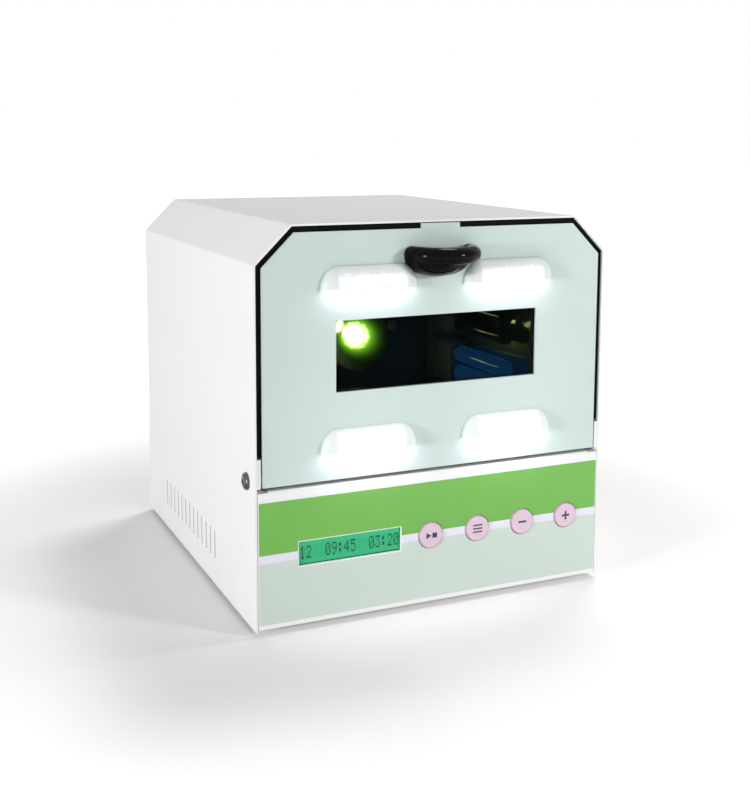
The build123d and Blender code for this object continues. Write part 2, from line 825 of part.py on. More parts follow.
def door_pull():
    """Half-bowl grip with a rolled rim, open upwards, its two rim ends on the door."""
    bowl_z = -pull_bowl_level
    bowl = Ellipse(pull_bowl_radius, pull_bowl_depth)
    bowl -= Ellipse(pull_bowl_radius - pull_wall, pull_bowl_depth - pull_wall)
    quarter = Pos(pull_bowl_radius, -pull_bowl_depth) * Rectangle(
        2 * pull_bowl_radius, 2 * pull_bowl_depth)
    profile = Pos(0, bowl_z) * (bowl & quarter) + Pos(pull_radius, 0) * Circle(pull_roll)
    profile += Pos(pull_bowl_radius - pull_wall / 2, bowl_z / 2) * Rectangle(
        pull_wall, pull_bowl_level)
    half_turn = Rot(0, 0, 180) * revolve(Plane.XZ * profile, Axis.Z, 180)
    grip = Pos(0, 0, pull_z) * half_turn
    pilots = [rod_y(pull_screw_radius, -pull_screw_depth, 0, x, pull_z)
              for x in (-pull_radius, pull_radius)]
    return grip - pilots


def pull_screws():
    single = Rot(90, 0, 0) * screw(pull_screw_radius, door_sheet + pull_screw_depth,
                                   pull_screw_head)
    return Part() + [Pos(x, door_sheet, pull_z) * single for x in (-pull_radius, pull_radius)]


# ---------------------------------------------------------------- hinge
def hinge_bracket():
    """Right-hand bracket: a nose in the door gap and a foot fixed through the cover."""
    nose_low = door_low - bracket_sill_fit
    nose_high = door_low + ear_height
    foot_low = door_low - bracket_drop
    slope_run, slope_drop = bracket_slope
    profile = Polygon((bracket_nose_front, nose_low), (bracket_nose_rear, nose_low),
                      (bracket_nose_rear, foot_low), (bracket_rear, foot_low),
                      (bracket_rear, nose_high - slope_drop), (bracket_rear - slope_run, nose_high),
                      (bracket_nose_front, nose_high))
    plate = sideways(profile, inner_half - bracket_sheet, inner_half)
    plate -= rod_x(pin_radius + pin_seat_fit, inner_half - bracket_sheet, inner_half,
                   pivot_y, pivot_z)
    return plate - rod_x(fixing_radius + pin_seat_fit, inner_half - bracket_sheet, inner_half,
                         fixing_y, fixing_z)


def hinge_pin():
    """Right-hand pin with a head on the inside of the door's ear."""
    head_radius, head_width = pin_head
    pin = rod_x(pin_radius, pin_head_side, inner_half, pivot_y, pivot_z)
    return pin + rod_x(head_radius, pin_head_side - head_width, pin_head_side, pivot_y, pivot_z)


def cup_washers():
    """Turned cup washers on the outside of the cover, one each side."""
    profile = [(fixing_radius + fixing_hole_fit, 0), (washer_radius, 0),
               (washer_radius - washer_lip, washer_height),
               (fixing_head_radius + washer_head_fit, washer_height),
               (fixing_radius + fixing_hole_fit, washer_seat)]
    washer = Rot(0, 90, 0) * turned(profile)
    return both_sides(Pos(half_width, fixing_y, fixing_z) * washer)


def fixing_screws():
    """Raised countersunk screws, seated in the cup washers and holding the brackets."""
    edge_rise, middle_rise = fixing_crown_rise
    profile = [(0, washer_seat), (fixing_radius, washer_seat), (fixing_head_radius, washer_height),
               (fixing_crown_radius, washer_height + edge_rise), (0, washer_height + middle_rise)]
    shank = rod_z(fixing_radius, -cover_sheet - bracket_sheet, washer_seat, 0, 0)
    single = Rot(0, 90, 0) * (turned(profile) + shank)
    return both_sides(Pos(half_width, fixing_y, fixing_z) * single)


# ---------------------------------------------------------------- lamp chamber
def pocketed(shape):
    """Leave room at both lower front corners for the hinge ears and brackets."""
    pocket = block((pocket_side, half_width), (0, pivot_y + ear_swing), (0, pocket_top))
    return shape - both_sides(pocket)


def fitted_front(shape):
    """Notch for the magnet catch and hole for the interlock plunger."""
    half = magnet_size[0] / 2 + magnet_fit
    shape -= block((-half, half), (0, liner_flange_front + 2 * liner_sheet),
                   (roof_top - magnet_fit, roof_top + magnet_size[2] + magnet_fit))
    return shape - rod_y(plunger_radius + plunger_hole_fit, 0,
                         liner_flange_front + liner_sheet, interlock_x, roof_top + interlock_lift)


def chamber_liner():
    """Reflecting chamber wrap: a folded tunnel with an outward front flange."""
    inner_face = gable(liner_half, liner_floor, liner_roof, liner_corner)
    outer_leg = inset_leg(liner_corner, -liner_sheet)
    outer_face = gable(liner_half + liner_sheet, bay_roof, roof_top, outer_leg)
    liner = upright(outer_face - inner_face, liner_flange_front, liner_depth)
    flange_leg = inset_leg(corner_leg, cover_sheet + sheet_fit)
    flange_low = liner_floor - seal_floor_drop
    flange = upright(gable(inner_half - sheet_fit, flange_low, inner_top - sheet_fit, flange_leg)
                     - inner_face, liner_flange_front, liner_flange_front + liner_sheet)
    liner += flange
    liner -= rod_z(shaft_radius + shaft_hole_fit, bay_roof, liner_floor, 0, turntable_y)
    return fitted_front(pocketed(liner))


def chamber_back():
    """Back wall of the chamber with two lamp openings and slots in line with the fan."""
    leg = inset_leg(liner_corner, -liner_sheet)
    face = gable(liner_half + liner_sheet, bay_roof, roof_top, leg)
    face -= [Pos(x, halogen_z) * Circle(halogen_rim_radius + halogen_hole_fit)
             for x in (-halogen_offset, halogen_offset)]
    span = (liner_slot_count - 1) * liner_slot_pitch
    face -= [Pos(0, fan_z + index * liner_slot_pitch - span / 2)
             * Rectangle(liner_slot[0], liner_slot[1]) for index in range(liner_slot_count)]
    return upright(face, liner_depth, liner_back)


def door_seal():
    """Black seal round the chamber mouth, filling the gap up to the cover."""
    leg = inset_leg(corner_leg, cover_sheet + seal_wall_fit)
    face = gable(inner_half - seal_wall_fit, liner_floor - seal_floor_drop,
                 inner_top - seal_wall_fit, leg)
    face -= gable(liner_half, liner_floor, liner_roof, liner_corner)
    return fitted_front(pocketed(upright(face, seal_front, liner_flange_front)))


def sill_seal():
    """Black angle strip below the door: flat on the front panel's flange, then up to the liner."""
    half = pocket_side - seal_wall_fit
    back = sill_seal_riser + sill_seal_sheet
    flat = block((-half, half), (sill_seal_front, back),
                 (fascia_height, fascia_height + sill_seal_sheet))
    return flat + block((-half, half), (sill_seal_riser, back), (fascia_height, bay_roof))


def chamber_support():
    """Right-hand folded upright between the tray and the chamber floor."""
    top = bay_roof
    middle_y = (support_front + support_rear) / 2
    middle_z = (tray_floor + top) / 2
    face = Pos(middle_y, middle_z) * Rectangle(support_rear - support_front, top - tray_floor)
    span = (support_hole_count - 1) * support_hole_pitch
    face -= [Pos(middle_y + index * support_hole_pitch - span / 2, middle_z)
             * SlotOverall(support_hole[0], support_hole[1], rotation=90)
             for index in range(support_hole_count)]
    web = sideways(face, support_x - support_sheet, support_x)
    foot = block((support_inner, support_x), (support_front, support_rear),
                 (tray_floor, tray_floor + support_sheet))
    head = block((support_inner, support_x), (support_front, support_rear),
                 (top - support_sheet, top))
    return web + foot + head


def magnet_catch():
    across, deep, tall = magnet_size
    body = block((-across / 2, across / 2), (seal_front, seal_front + deep),
                 (roof_top, roof_top + tall))
    edges = body.edges().filter_by(Axis.Y)
    return chamfer(edges, magnet_fit)


def interlock_switch():
    """Small switch body behind the liner's flange, bored for its plunger."""
    across, deep, tall = interlock_box
    front = liner_flange_front + liner_sheet
    z = roof_top + interlock_lift
    body = block((interlock_x - across / 2, interlock_x + across / 2), (front, front + deep),
                 (z - interlock_lift, z - interlock_lift + tall))
    return body - rod_y(plunger_radius + plunger_fit, front, front + interlock_bore, interlock_x, z)


def interlock_plunger():
    return rod_y(plunger_radius, seal_front, seal_front + plunger_length, interlock_x,
                 roof_top + interlock_lift)


# ---------------------------------------------------------------- lamps
def uv_tube(z):
    """Right-hand folded lamp tube: two legs joined by a bridge near the free end."""
    rises = (-tube_pitch / 2, tube_pitch / 2)
    leg_front = tube_front + tube_cap_depth
    cap = scale(Sphere(tube_radius), by=(1, tube_cap_depth / tube_radius, 1))
    legs = Part() + [rod_y(tube_radius, leg_front, tube_rear, tube_x, z + rise) for rise in rises]
    caps = [Pos(tube_x, leg_front, z + rise) * cap for rise in rises]
    bridge = rod_z(tube_bridge_radius, z + rises[0], z + rises[1], tube_x,
                   tube_front + tube_bridge_inset)
    return legs + caps + bridge


def lamp_base_block(z):
    """Right-hand moulded base that the tube legs enter."""
    across, deep, tall = lamp_base
    base = block((tube_x - across / 2, tube_x + across / 2), (tube_rear, tube_rear + deep),
                 (z - tall / 2, z + tall / 2))
    return fillet(base.edges().filter_by(Axis.Y), lamp_base_corner)


def uv_holder():
    """Right-hand double holder on the back wall, one socket face for each lamp."""
    across = lamp_base[0] + 2 * lamp_holder_border
    front = tube_rear + lamp_base[1]
    lower, upper = (liner_floor + rise for rise in lamp_rises.values())
    low = lower - lamp_base[2] / 2
    high = upper + lamp_base[2] / 2
    holder = block((tube_x - across / 2, liner_half), (front, liner_depth), (low, high))
    middle = (lower + upper) / 2
    waist = block((tube_x - across / 2, liner_half), (front, (front + liner_depth) / 2),
                  (middle - lamp_holder_border, middle + lamp_holder_border))
    return holder - waist


def halogen_reflector(x):
    """Lamp reflector: a deep glass bowl on a neck, with an open front."""
    rim, neck, wall = halogen_rim_radius, halogen_neck_radius, halogen_wall
    bowl, band, length = halogen_bowl_length, halogen_rim_band, halogen_length
    bulge = (rim * halogen_outer_bulge[0], bowl * halogen_outer_bulge[1])
    outer = make_face([
        Line((0, 0), (rim, 0)), Line((rim, 0), (rim, band)),
        ThreePointArc((rim, band), bulge, (neck, bowl)),
        Line((neck, bowl), (neck, length)), Line((neck, length), (0, length)),
        Line((0, length), (0, 0))])
    seat, seat_end = capsule_radius + neck_fit, bowl + capsule_seat
    bulge = (rim * halogen_inner_bulge[0], bowl * halogen_inner_bulge[1])
    inner = make_face([
        Line((0, 0), (rim - wall, 0)),
        ThreePointArc((rim - wall, 0), bulge, (seat, bowl - wall)),
        Line((seat, bowl - wall), (seat, seat_end)), Line((seat, seat_end), (0, seat_end)),
        Line((0, seat_end), (0, 0))])
    solid = revolve(Plane.XZ * (outer - inner), Axis.Z, 360)
    return Pos(x, halogen_rim_front, halogen_z) * Rot(-90, 0, 0) * solid


def halogen_capsule(x):
    """Lamp capsule, its back end seated in the reflector's neck."""
    back = halogen_rim_front + halogen_bowl_length + capsule_seat
    capsule = rod_y(capsule_radius, back - capsule_length, back, x, halogen_z)
    front_rim = capsule.edges().filter_by(GeomType.CIRCLE).sort_by(Axis.Y)[0]
    return fillet(front_rim, capsule_round)


def halogen_bracket():
    """Channel behind the back wall that grips the lamps' necks."""
    half, wall = channel_half_width, channel_wall
    levels = (halogen_z - channel_half_height, halogen_z + channel_half_height)
    face_plate = block((-half, half), (channel_face_y, channel_face_y + wall), levels)
    leg = block((half - wall, half), (liner_back, channel_face_y + wall), levels)
    foot = block((half - wall, half + channel_foot), (liner_back, liner_back + wall), levels)
    channel = face_plate + both_sides(leg + foot)
    return channel - [rod_y(halogen_neck_radius + neck_fit, channel_face_y, channel_face_y + wall,
                            x, halogen_z) for x in (-halogen_offset, halogen_offset)]


# ---------------------------------------------------------------- turntable
def turntable_disc():
    """Turned sample plate with a raised rim and a hub below."""
    low = liner_floor + turntable_lift
    top = low + turntable_sheet
    edge = turntable_radius
    profile = [(shaft_radius, low - turntable_lift / 2), (hub_radius, low - turntable_lift / 2),
               (hub_radius, low), (edge, low), (edge, top + turntable_rim),
               (edge - turntable_sheet, top + turntable_rim), (edge - turntable_sheet, top),
               (shaft_radius, top)]
    return Pos(0, turntable_y, 0) * turned(profile)


def turntable_shaft():
    """Drive shaft, its top flush with the plate."""
    top = liner_floor + turntable_lift + turntable_sheet
    return rod_z(shaft_radius, bay_roof - shaft_depth, top, 0, turntable_y)


def turntable_motor():
    """Flat geared motor hung under the chamber floor by two ears."""
    low = bay_roof - motor_height
    motor = rod_z(motor_radius, low, bay_roof, 0, turntable_y)
    motor += block((-motor_ear_reach, motor_ear_reach),
                   (turntable_y - motor_ear_half_width, turntable_y + motor_ear_half_width),
                   (bay_roof - motor_ear_sheet, bay_roof))
    return motor - rod_z(shaft_radius + shaft_fit, bay_roof - shaft_depth - shaft_end_gap,
                         bay_roof, 0, turntable_y)


# ---------------------------------------------------------------- bay electronics
def lamp_ballast():
    """Aluminium ballast box with top fins and a foot at each end."""
    across, deep, tall = ballast_box
    right = support_inner - ballast_side_gap
    left = right - across
    top = tray_floor + tall
    foot_back = panel_front - ballast_rear_gap
    back = foot_back - ballast_foot
    front = back - deep
    box = block((left, right), (front, back), (tray_floor, top))
    pitch = across / ballast_fins
    for index in range(ballast_fins):
        slot = left + index * pitch + pitch / 4
        box -= block((slot, slot + pitch / 2), (front, back), (top - ballast_fin_depth, top))
    return box + block((left, right), (front - ballast_foot, foot_back),
                       (tray_floor, tray_floor + ballast_foot_sheet))


def transformer():
    """Laminated core round a winding, on a foot plate."""
    foot, core, coil = transformer_foot, transformer_core, transformer_coil
    x = -support_inner + transformer_side_gap + foot[0] / 2
    y = inlet_front - transformer_rear_gap - foot[1] / 2
    low = tray_floor + foot[2]
    middle = low + core[2] / 2
    winding = Pos(x, y, middle) * Box(*coil)
    shape = Pos(x, y, tray_floor + foot[2] / 2) * Box(*foot)
    shape += Pos(x, y, middle) * Box(*core)
    return shape + fillet(winding.edges().filter_by(Axis.Z), coil_corner)


# ---------------------------------------------------------------- assembly
def left_and_right(name, shape):
    return {f"{name}_right": shape, f"{name}_left": mirror(shape, about=Plane.YZ)}


def all_pieces():
    pieces = {
        "outer_cover": outer_cover(),
        "base_tray": base_tray(),
        "rear_panel": rear_panel(),
        "rubber_feet": rubber_feet(),
        "cover_screws": cover_screws(),
        "rear_screws": rear_screws(),
        "front_fascia": front_fascia(),
        "front_overlay": front_overlay(),
        "display_lens": display_lens(),
        "display_module": display_module(),
        "control_board": control_board_assembly(),
        "door_panel": door_panel(),
        "filter_window": filter_window(),
        "window_frame": window_frame(),
        "door_pull": door_pull(),
        "pull_screws": pull_screws(),
        "hinge_cup_washers": cup_washers(),
        "hinge_fixing_screws": fixing_screws(),
        "chamber_liner": chamber_liner(),
        "chamber_back": chamber_back(),
        "door_seal": door_seal(),
        "sill_seal": sill_seal(),
        "magnet_catch": magnet_catch(),
        "interlock_switch": interlock_switch(),
        "interlock_plunger": interlock_plunger(),
        "halogen_bracket": halogen_bracket(),
        "turntable_disc": turntable_disc(),
        "turntable_shaft": turntable_shaft(),
        "turntable_motor": turntable_motor(),
        "fan_housing": fan_housing(),
        "fan_rotor": fan_rotor(),
        "fan_screws": fan_screws(),
        "power_inlet": power_inlet(),
        "rocker_key": rocker_key(),
        "lamp_ballast": lamp_ballast(),
        "transformer": transformer(),
    }
    for name, (x, z) in zip(key_names, key_places()):
        pieces[name] = key_cap(x, z)
    pieces |= left_and_right("hinge_bracket", hinge_bracket())
    pieces |= left_and_right("hinge_pin", hinge_pin())
    pieces |= left_and_right("chamber_support", chamber_support())
    pieces |= left_and_right("uv_holder", uv_holder())
    for level, rise in lamp_rises.items():
        pieces |= left_and_right(f"uv_tube_{level}", uv_tube(liner_floor + rise))
        pieces |= left_and_right(f"uv_base_{level}", lamp_base_block(liner_floor + rise))
    for side, sign in (("left", -1), ("right", 1)):
        pieces[f"halogen_reflector_{side}"] = halogen_reflector(sign * halogen_offset)
        pieces[f"halogen_capsule_{side}"] = halogen_capsule(sign * halogen_offset)
    return pieces


os.makedirs("parts", exist_ok=True)
for node, piece in all_pieces().items():
    export_step(to_part_frame * piece, f"parts/{node}.step")
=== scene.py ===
"""Dressed model of a bench-top light curing cabinet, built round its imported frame.

The frame gives every fitted piece at its real size. This script paints those pieces and adds
the small ones that only show: screws with cross recesses, key symbols, display characters,
faceted lamp reflectors, contact blades and switch marks. Lengths are in metres. Sizes that
belong to one piece are fields of its class, and places come from the frame's own boxes.
"""

import json
import logging
import math
from dataclasses import dataclass, field
from enum import Enum
from typing import Any, Callable, Optional, Sequence

import bmesh
import bpy
from mathutils import Euler, Matrix, Vector

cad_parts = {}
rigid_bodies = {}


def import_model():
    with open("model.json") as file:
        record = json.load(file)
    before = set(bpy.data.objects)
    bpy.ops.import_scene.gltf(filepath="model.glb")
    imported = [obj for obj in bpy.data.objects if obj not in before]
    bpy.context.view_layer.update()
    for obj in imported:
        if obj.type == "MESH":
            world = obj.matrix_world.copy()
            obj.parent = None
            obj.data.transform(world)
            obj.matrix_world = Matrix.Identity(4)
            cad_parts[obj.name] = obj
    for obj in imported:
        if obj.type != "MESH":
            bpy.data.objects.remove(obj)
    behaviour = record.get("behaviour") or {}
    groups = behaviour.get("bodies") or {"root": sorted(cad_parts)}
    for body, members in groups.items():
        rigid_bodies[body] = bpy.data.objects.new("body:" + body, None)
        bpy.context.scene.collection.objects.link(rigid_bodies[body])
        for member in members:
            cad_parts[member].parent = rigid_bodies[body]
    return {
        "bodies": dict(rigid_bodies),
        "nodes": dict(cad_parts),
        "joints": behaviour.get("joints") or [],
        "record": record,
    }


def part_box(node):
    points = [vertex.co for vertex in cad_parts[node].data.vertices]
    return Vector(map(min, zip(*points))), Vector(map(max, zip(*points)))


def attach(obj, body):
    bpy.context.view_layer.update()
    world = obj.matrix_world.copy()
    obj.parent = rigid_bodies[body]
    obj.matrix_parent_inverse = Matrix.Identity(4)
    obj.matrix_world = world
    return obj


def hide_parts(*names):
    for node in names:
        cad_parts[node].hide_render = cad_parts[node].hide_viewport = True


MM = 0.001
IMAGE_HEIGHT = 800

Colour = tuple[float, float, float]
Point = tuple[float, float, float]
Shares = tuple[tuple[float, float], ...]
Piece = bpy.types.Object
Finish = bpy.types.Material
Socket = bpy.types.NodeSocket

log = logging.getLogger("curing_cabinet")


class Body(str, Enum):
    """Bodies of the frame that carry the added pieces."""

    HOUSING = "housing"
    DOOR = "door"
    ROCKER = "rocker"
    START_KEY = "start_key"
    PROGRAM_KEY = "program_key"
    MINUS_KEY = "minus_key"
    PLUS_KEY = "plus_key"


class Facing(Enum):
    """Which way the axis of a piece modelled along +Z points once it is in place."""

    UP = (0.0, 0.0, 0.0)
    DOWN = (math.pi, 0.0, 0.0)
    FRONT = (math.pi / 2, 0.0, 0.0)
    REAR = (-math.pi / 2, 0.0, 0.0)
    LEFT = (0.0, -math.pi / 2, 0.0)
    RIGHT = (0.0, math.pi / 2, 0.0)


@dataclass(frozen=True)
class Hoods:
    """Pressed hoods of the door: their middles from its centre line, and their lips' heights."""

    offset: float = 45.7 * MM
    lips: tuple[float, float] = (100.5 * MM, 194.4 * MM)


HOODS = Hoods()


def scaled(shares: Shares, radius: float, height: float) -> list[tuple[float, float]]:
    """Turn shares of a radius and a height into lengths."""
    return [(across * radius, up * height) for across, up in shares]


def shaded(colour: Colour, share: float) -> Colour:
    """Return a colour that is brighter or darker by a share."""
    return tuple(value * share for value in colour)


# ---------------------------------------------------------------- shader graphs
class Scalar:
    """A number that varies over a surface. Arithmetic on it adds Math nodes."""

    def __init__(self, graph: "Nodes", socket: Socket) -> None:
        """Wrap one output socket of a graph."""
        self.graph = graph
        self.socket = socket

    def _math(self, operation: str, *terms: Any) -> "Scalar":
        """Add a Math node.

        Args:
            operation: Name of the Math node's operation.
            terms: Its inputs in order, as Scalars or plain numbers.

        Returns:
            The node's result.
        """
        node = self.graph.node("ShaderNodeMath", {"operation": operation}, dict(enumerate(terms)))
        return Scalar(self.graph, node.outputs[0])

    def __add__(self, other: Any) -> "Scalar":
        """Sum."""
        return self._math("ADD", self, other)

    __radd__ = __add__

    def __sub__(self, other: Any) -> "Scalar":
        """Difference."""
        return self._math("SUBTRACT", self, other)

    def __rsub__(self, other: Any) -> "Scalar":
        """Difference with this value taken away."""
        return self._math("SUBTRACT", other, self)

    def __mul__(self, other: Any) -> "Scalar":
        """Product."""
        return self._math("MULTIPLY", self, other)

    __rmul__ = __mul__

    def __truediv__(self, other: Any) -> "Scalar":
        """Quotient."""
        return self._math("DIVIDE", self, other)

    def __pow__(self, other: float) -> "Scalar":
        """Power."""
        return self._math("POWER", self, other)

    def __abs__(self) -> "Scalar":
        """Size without sign."""
        return self._math("ABSOLUTE", self)

    def floor(self, least: Any) -> "Scalar":
        """The value, or a least value where it is lower."""
        return self._math("MAXIMUM", self, least)

    def sine(self) -> "Scalar":
        """Sine of the value."""
        return self._math("SINE", self)

    def wrapped(self, period: float) -> "Scalar":
        """The value folded into the range from zero to a period."""
        return self._math("WRAP", self, period, 0.0)

    def over(self, limit: float, softness: float) -> "Scalar":
        """Soft step.

        Args:
            limit: Where the step is half way.
            softness: Width of the change.

        Returns:
            0 well below the limit and 1 well above it.
        """
        node = self.graph.node("ShaderNodeMapRange", {"interpolation_type": "SMOOTHSTEP"}, {
            "Value": self, "From Min": limit - softness / 2, "From Max": limit + softness / 2})
        return Scalar(self.graph, node.outputs["Result"])

    def under(self, limit: float, softness: float) -> "Scalar":
        """Soft step the other way: 1 below the limit and 0 above it."""
        return 1.0 - self.over(limit, softness)


class Nodes:
    """Node tree with one way to add a node."""

    def __init__(self, tree: bpy.types.NodeTree) -> None:
        """Take over a tree."""
        self.tree = tree

    def node(self, kind: str, settings: Optional[dict[str, Any]] = None,
             inputs: Optional[dict[Any, Any]] = None) -> bpy.types.Node:
        """Add one node.

        Args:
            kind: The node's type.
            settings: Properties, set before the inputs.
            inputs: Values or links by socket name or number.

        Returns:
            The new node.
        """
        made = self.tree.nodes.new(kind)
        for key, value in (settings or {}).items():
            setattr(made, key, value)
        for key, value in (inputs or {}).items():
            self.feed(made.inputs[key], value)
        return made

    def feed(self, socket: Socket, value: Any) -> None:
        """Link a socket to a Scalar or an output, or give it a plain value.

        Args:
            socket: The input socket.
            value: What it gets.
        """
        if isinstance(value, Scalar):
            value = value.socket
        if isinstance(value, Socket):
            self.tree.links.new(value, socket)
        elif socket.type == "RGBA" and len(value) == 3:
            socket.default_value = (*value, 1.0)
        else:
            socket.default_value = value

    def seen(self) -> Scalar:
        """Return 1 for rays of the camera and of mirrors, and 0 for the light's own rays."""
        rays = self.node("ShaderNodeLightPath").outputs
        glossy = Scalar(self, rays["Is Glossy Ray"])
        return Scalar(self, rays["Is Camera Ray"]).floor(glossy)


class Graph(Nodes):
    """Node tree of one material, read in the object's own coordinates."""

    def __init__(self, name: str) -> None:
        """Start a named material with an empty tree."""
        self.material = bpy.data.materials.new(name)
        self.material.use_nodes = True
        super().__init__(self.material.node_tree)
        self.tree.nodes.clear()
        self._position: Optional[Socket] = None

    @property
    def position(self) -> Socket:
        """The object's own coordinates, in metres."""
        if self._position is None:
            self._position = self.node("ShaderNodeTexCoord").outputs["Object"]
        return self._position

    def split(self, vector: Socket) -> tuple[Scalar, Scalar, Scalar]:
        """Take a vector apart into X, Y and Z."""
        parts = self.node("ShaderNodeSeparateXYZ", None, {0: vector})
        return tuple(Scalar(self, output) for output in parts.outputs)

    def axes(self, centre: Point = (0.0, 0.0, 0.0)) -> tuple[Scalar, Scalar, Scalar]:
        """Return X, Y and Z from a centre."""
        moved = self.node("ShaderNodeMapping", None, {
            "Vector": self.position, "Location": tuple(-value for value in centre)})
        return self.split(moved.outputs[0])

    def facing(self) -> tuple[Scalar, Scalar, Scalar]:
        """Return X, Y and Z of the surface's own outward direction."""
        return self.split(self.node("ShaderNodeTexCoord").outputs["Normal"])

    def noise(self, grain: float, detail: float = 2.0, stretch: Point = (1.0, 1.0, 1.0)) -> Scalar:
        """Cloudy noise.

        Args:
            grain: Rough size of one blotch, in metres.
            detail: Layers of finer noise.
            stretch: Frequency along each axis, as a share.

        Returns:
            Values round 0.5.
        """
        mapped = self.node("ShaderNodeMapping", None, {"Vector": self.position, "Scale": stretch})
        made = self.node("ShaderNodeTexNoise", None, {
            "Vector": mapped.outputs[0], "Scale": 1.0 / grain, "Detail": detail})
        return Scalar(self, made.outputs["Fac"])

    def blend(self, factor: Any, first: Any, second: Any) -> Socket:
        """Mix two colours, the second where the factor is 1."""
        made = self.node("ShaderNodeMix", {"data_type": "RGBA"}, {
            "Factor": factor, 6: first, 7: second})
        return made.outputs[2]

    def bump(self, height: Scalar, depth: float, strength: float = 1.0) -> Socket:
        """Surface relief.

        Args:
            height: Relief from 0 to 1.
            depth: How deep the relief is, in metres.
            strength: Share of it that shows.

        Returns:
            The bent normal.
        """
        made = self.node("ShaderNodeBump", None, {
            "Height": height, "Distance": depth, "Strength": strength})
        return made.outputs["Normal"]

    def surface(self, **sockets: Any) -> Finish:
        """Finish the material with one principled surface.

        Args:
            sockets: Inputs by name, with underscores for spaces.

        Returns:
            The finished material.
        """
        inputs = {name.replace("_", " "): value for name, value in sockets.items()}
        shader = self.node("ShaderNodeBsdfPrincipled", None, inputs)
        self.node("ShaderNodeOutputMaterial", None, {"Surface": shader.outputs[0]})
        return self.material


# ---------------------------------------------------------------- finishes
@dataclass(frozen=True)
class PowderCoat:
    """Powder coat with a fine orange peel."""

    name: str
    colour: Colour
    roughness: float = 0.42
    peel: float = 1.3 * MM
    relief: float = 0.05 * MM
    relief_share: float = 0.6
    specular: float = 0.4
    mottle: float = 0.03
    mottle_grain: float = 28 * MM
    sheen: float = 0.06
    sheen_grain: float = 6 * MM

    def colours(self, graph: Graph) -> Socket:
        """Return the coat's slightly uneven colour."""
        darker = shaded(self.colour, 1.0 - self.mottle)
        return graph.blend(graph.noise(self.mottle_grain, 3.0), self.colour, darker)

    def coated(self, graph: Graph, colour: Socket, **painted_glow: Any) -> Finish:
        """Finish a coat of a colour.

        Args:
            graph: The coat's tree.
            colour: Its colour.
            painted_glow: Further inputs of the surface.

        Returns:
            The finished coat.
        """
        rough = self.roughness + self.sheen * graph.noise(self.sheen_grain)
        peel = graph.bump(graph.noise(self.peel), self.relief, self.relief_share)
        return graph.surface(Base_Color=colour, Roughness=rough, Normal=peel,
                             Specular_IOR_Level=self.specular, **painted_glow)

    def material(self) -> Finish:
        """Build the coat."""
        graph = Graph(self.name)
        return self.coated(graph, self.colours(graph))


@dataclass(frozen=True)
class LouvredCoat(PowderCoat):
    """Powder coat of the door, with a painted glow on its pressed hoods and painted spill light
    round the lower ones.

    A height of painted glow belongs to each row of hoods. Skin values are depths from the panel's
    face.
    """

    under: float = 0.0
    front: float = 0.0
    # Painted glow of the hoods: its height on each row, its ragged top edge and its span across a
    # hood.
    painted_glow_heights: tuple[float, float] = (11.0 * MM, 7.8 * MM)
    lip_line: float = 0.8 * MM
    lip_edge: float = 0.4 * MM
    ragged: float = 8.0 * MM
    ragged_edge: float = 2.0 * MM
    half_span: float = 20.5 * MM
    span_edge: float = 4 * MM
    hood_skin: tuple[float, float] = (-1.2 * MM, 2.0 * MM)
    panel_skin: tuple[float, float] = (0.3 * MM, 0.2 * MM)
    speckle: float = 1.1 * MM
    grit: tuple[float, float] = (0.42, 0.25)
    grit_share: float = 0.35
    # Painted light: the hoods take a lighter copy of the coat, broken in part by speckle.
    painted_light_speckle_share: float = 0.28
    painted_light_coat: Colour = (0.86, 0.90, 0.88)
    # Painted spill light round the lower hoods, then the painted glow's colour and strength.
    painted_spill: float = 0.30
    painted_spill_radius: float = 48 * MM
    painted_spill_fade: float = 84 * MM
    painted_glow: Colour = (0.90, 0.90, 1.0)
    painted_glow_strength: float = 0.34

    def before(self, y: Scalar, skin: tuple[float, float]) -> Scalar:
        """Return 1 in front of a depth from the panel's face, and 0 behind it."""
        return y.under(self.front + skin[0], skin[1])

    def painted_spill_mask(self, x: Scalar, y: Scalar, z: Scalar) -> Scalar:
        """Work out the painted spill light round the lower hoods on the panel's outer face.

        Args:
            x: Place across the door.
            y: Depth.
            z: Height.

        Returns:
            0 away from the hoods and 1 at them.
        """
        across = abs(x) - HOODS.offset
        above = z - (self.under + HOODS.lips[0])
        distance = (across * across + above * above) ** 0.5
        return distance.under(self.painted_spill_radius, self.painted_spill_fade) * self.before(y, self.panel_skin)

    def material(self) -> Finish:
        """Build the coat with a painted glow on the lower part of every hood, and a painted lighter
        tone on the hoods.
        """
        graph = Graph(self.name)
        x, y, z = graph.axes()
        outward = self.before(y, self.hood_skin)
        side = abs(abs(x) - HOODS.offset).under(self.half_span, self.span_edge)
        speck = graph.noise(self.speckle, 1.0)
        ragged_z = z + self.ragged * (speck - 0.5)
        # Painted glow in a band above the lip of each hood.
        lit: Any = 0.0
        for lip, painted_glow_height in zip(HOODS.lips, self.painted_glow_heights):
            level = self.under + lip
            band = z.over(level + self.lip_line, self.lip_edge)
            lit = lit + band * ragged_z.under(level + painted_glow_height, self.ragged_edge)
        # Where the painted glow shows: the bands on the hoods and the painted spill light round the
        # lower hoods.
        mask = outward * side * lit + self.painted_spill * self.painted_spill_mask(x, y, z)
        # Painted lighter tone on the hoods, broken by speckle across their span.
        flat = side * (1.0 - self.grit_share + self.grit_share * speck.over(*self.grit))
        share = outward * (1.0 - self.painted_light_speckle_share + self.painted_light_speckle_share * flat)
        return self.coated(graph, graph.blend(share, self.colours(graph), self.painted_light_coat),
                           Emission_Color=graph.blend(mask, (0.0, 0.0, 0.0), self.painted_glow),
                           Emission_Strength=self.painted_glow_strength)


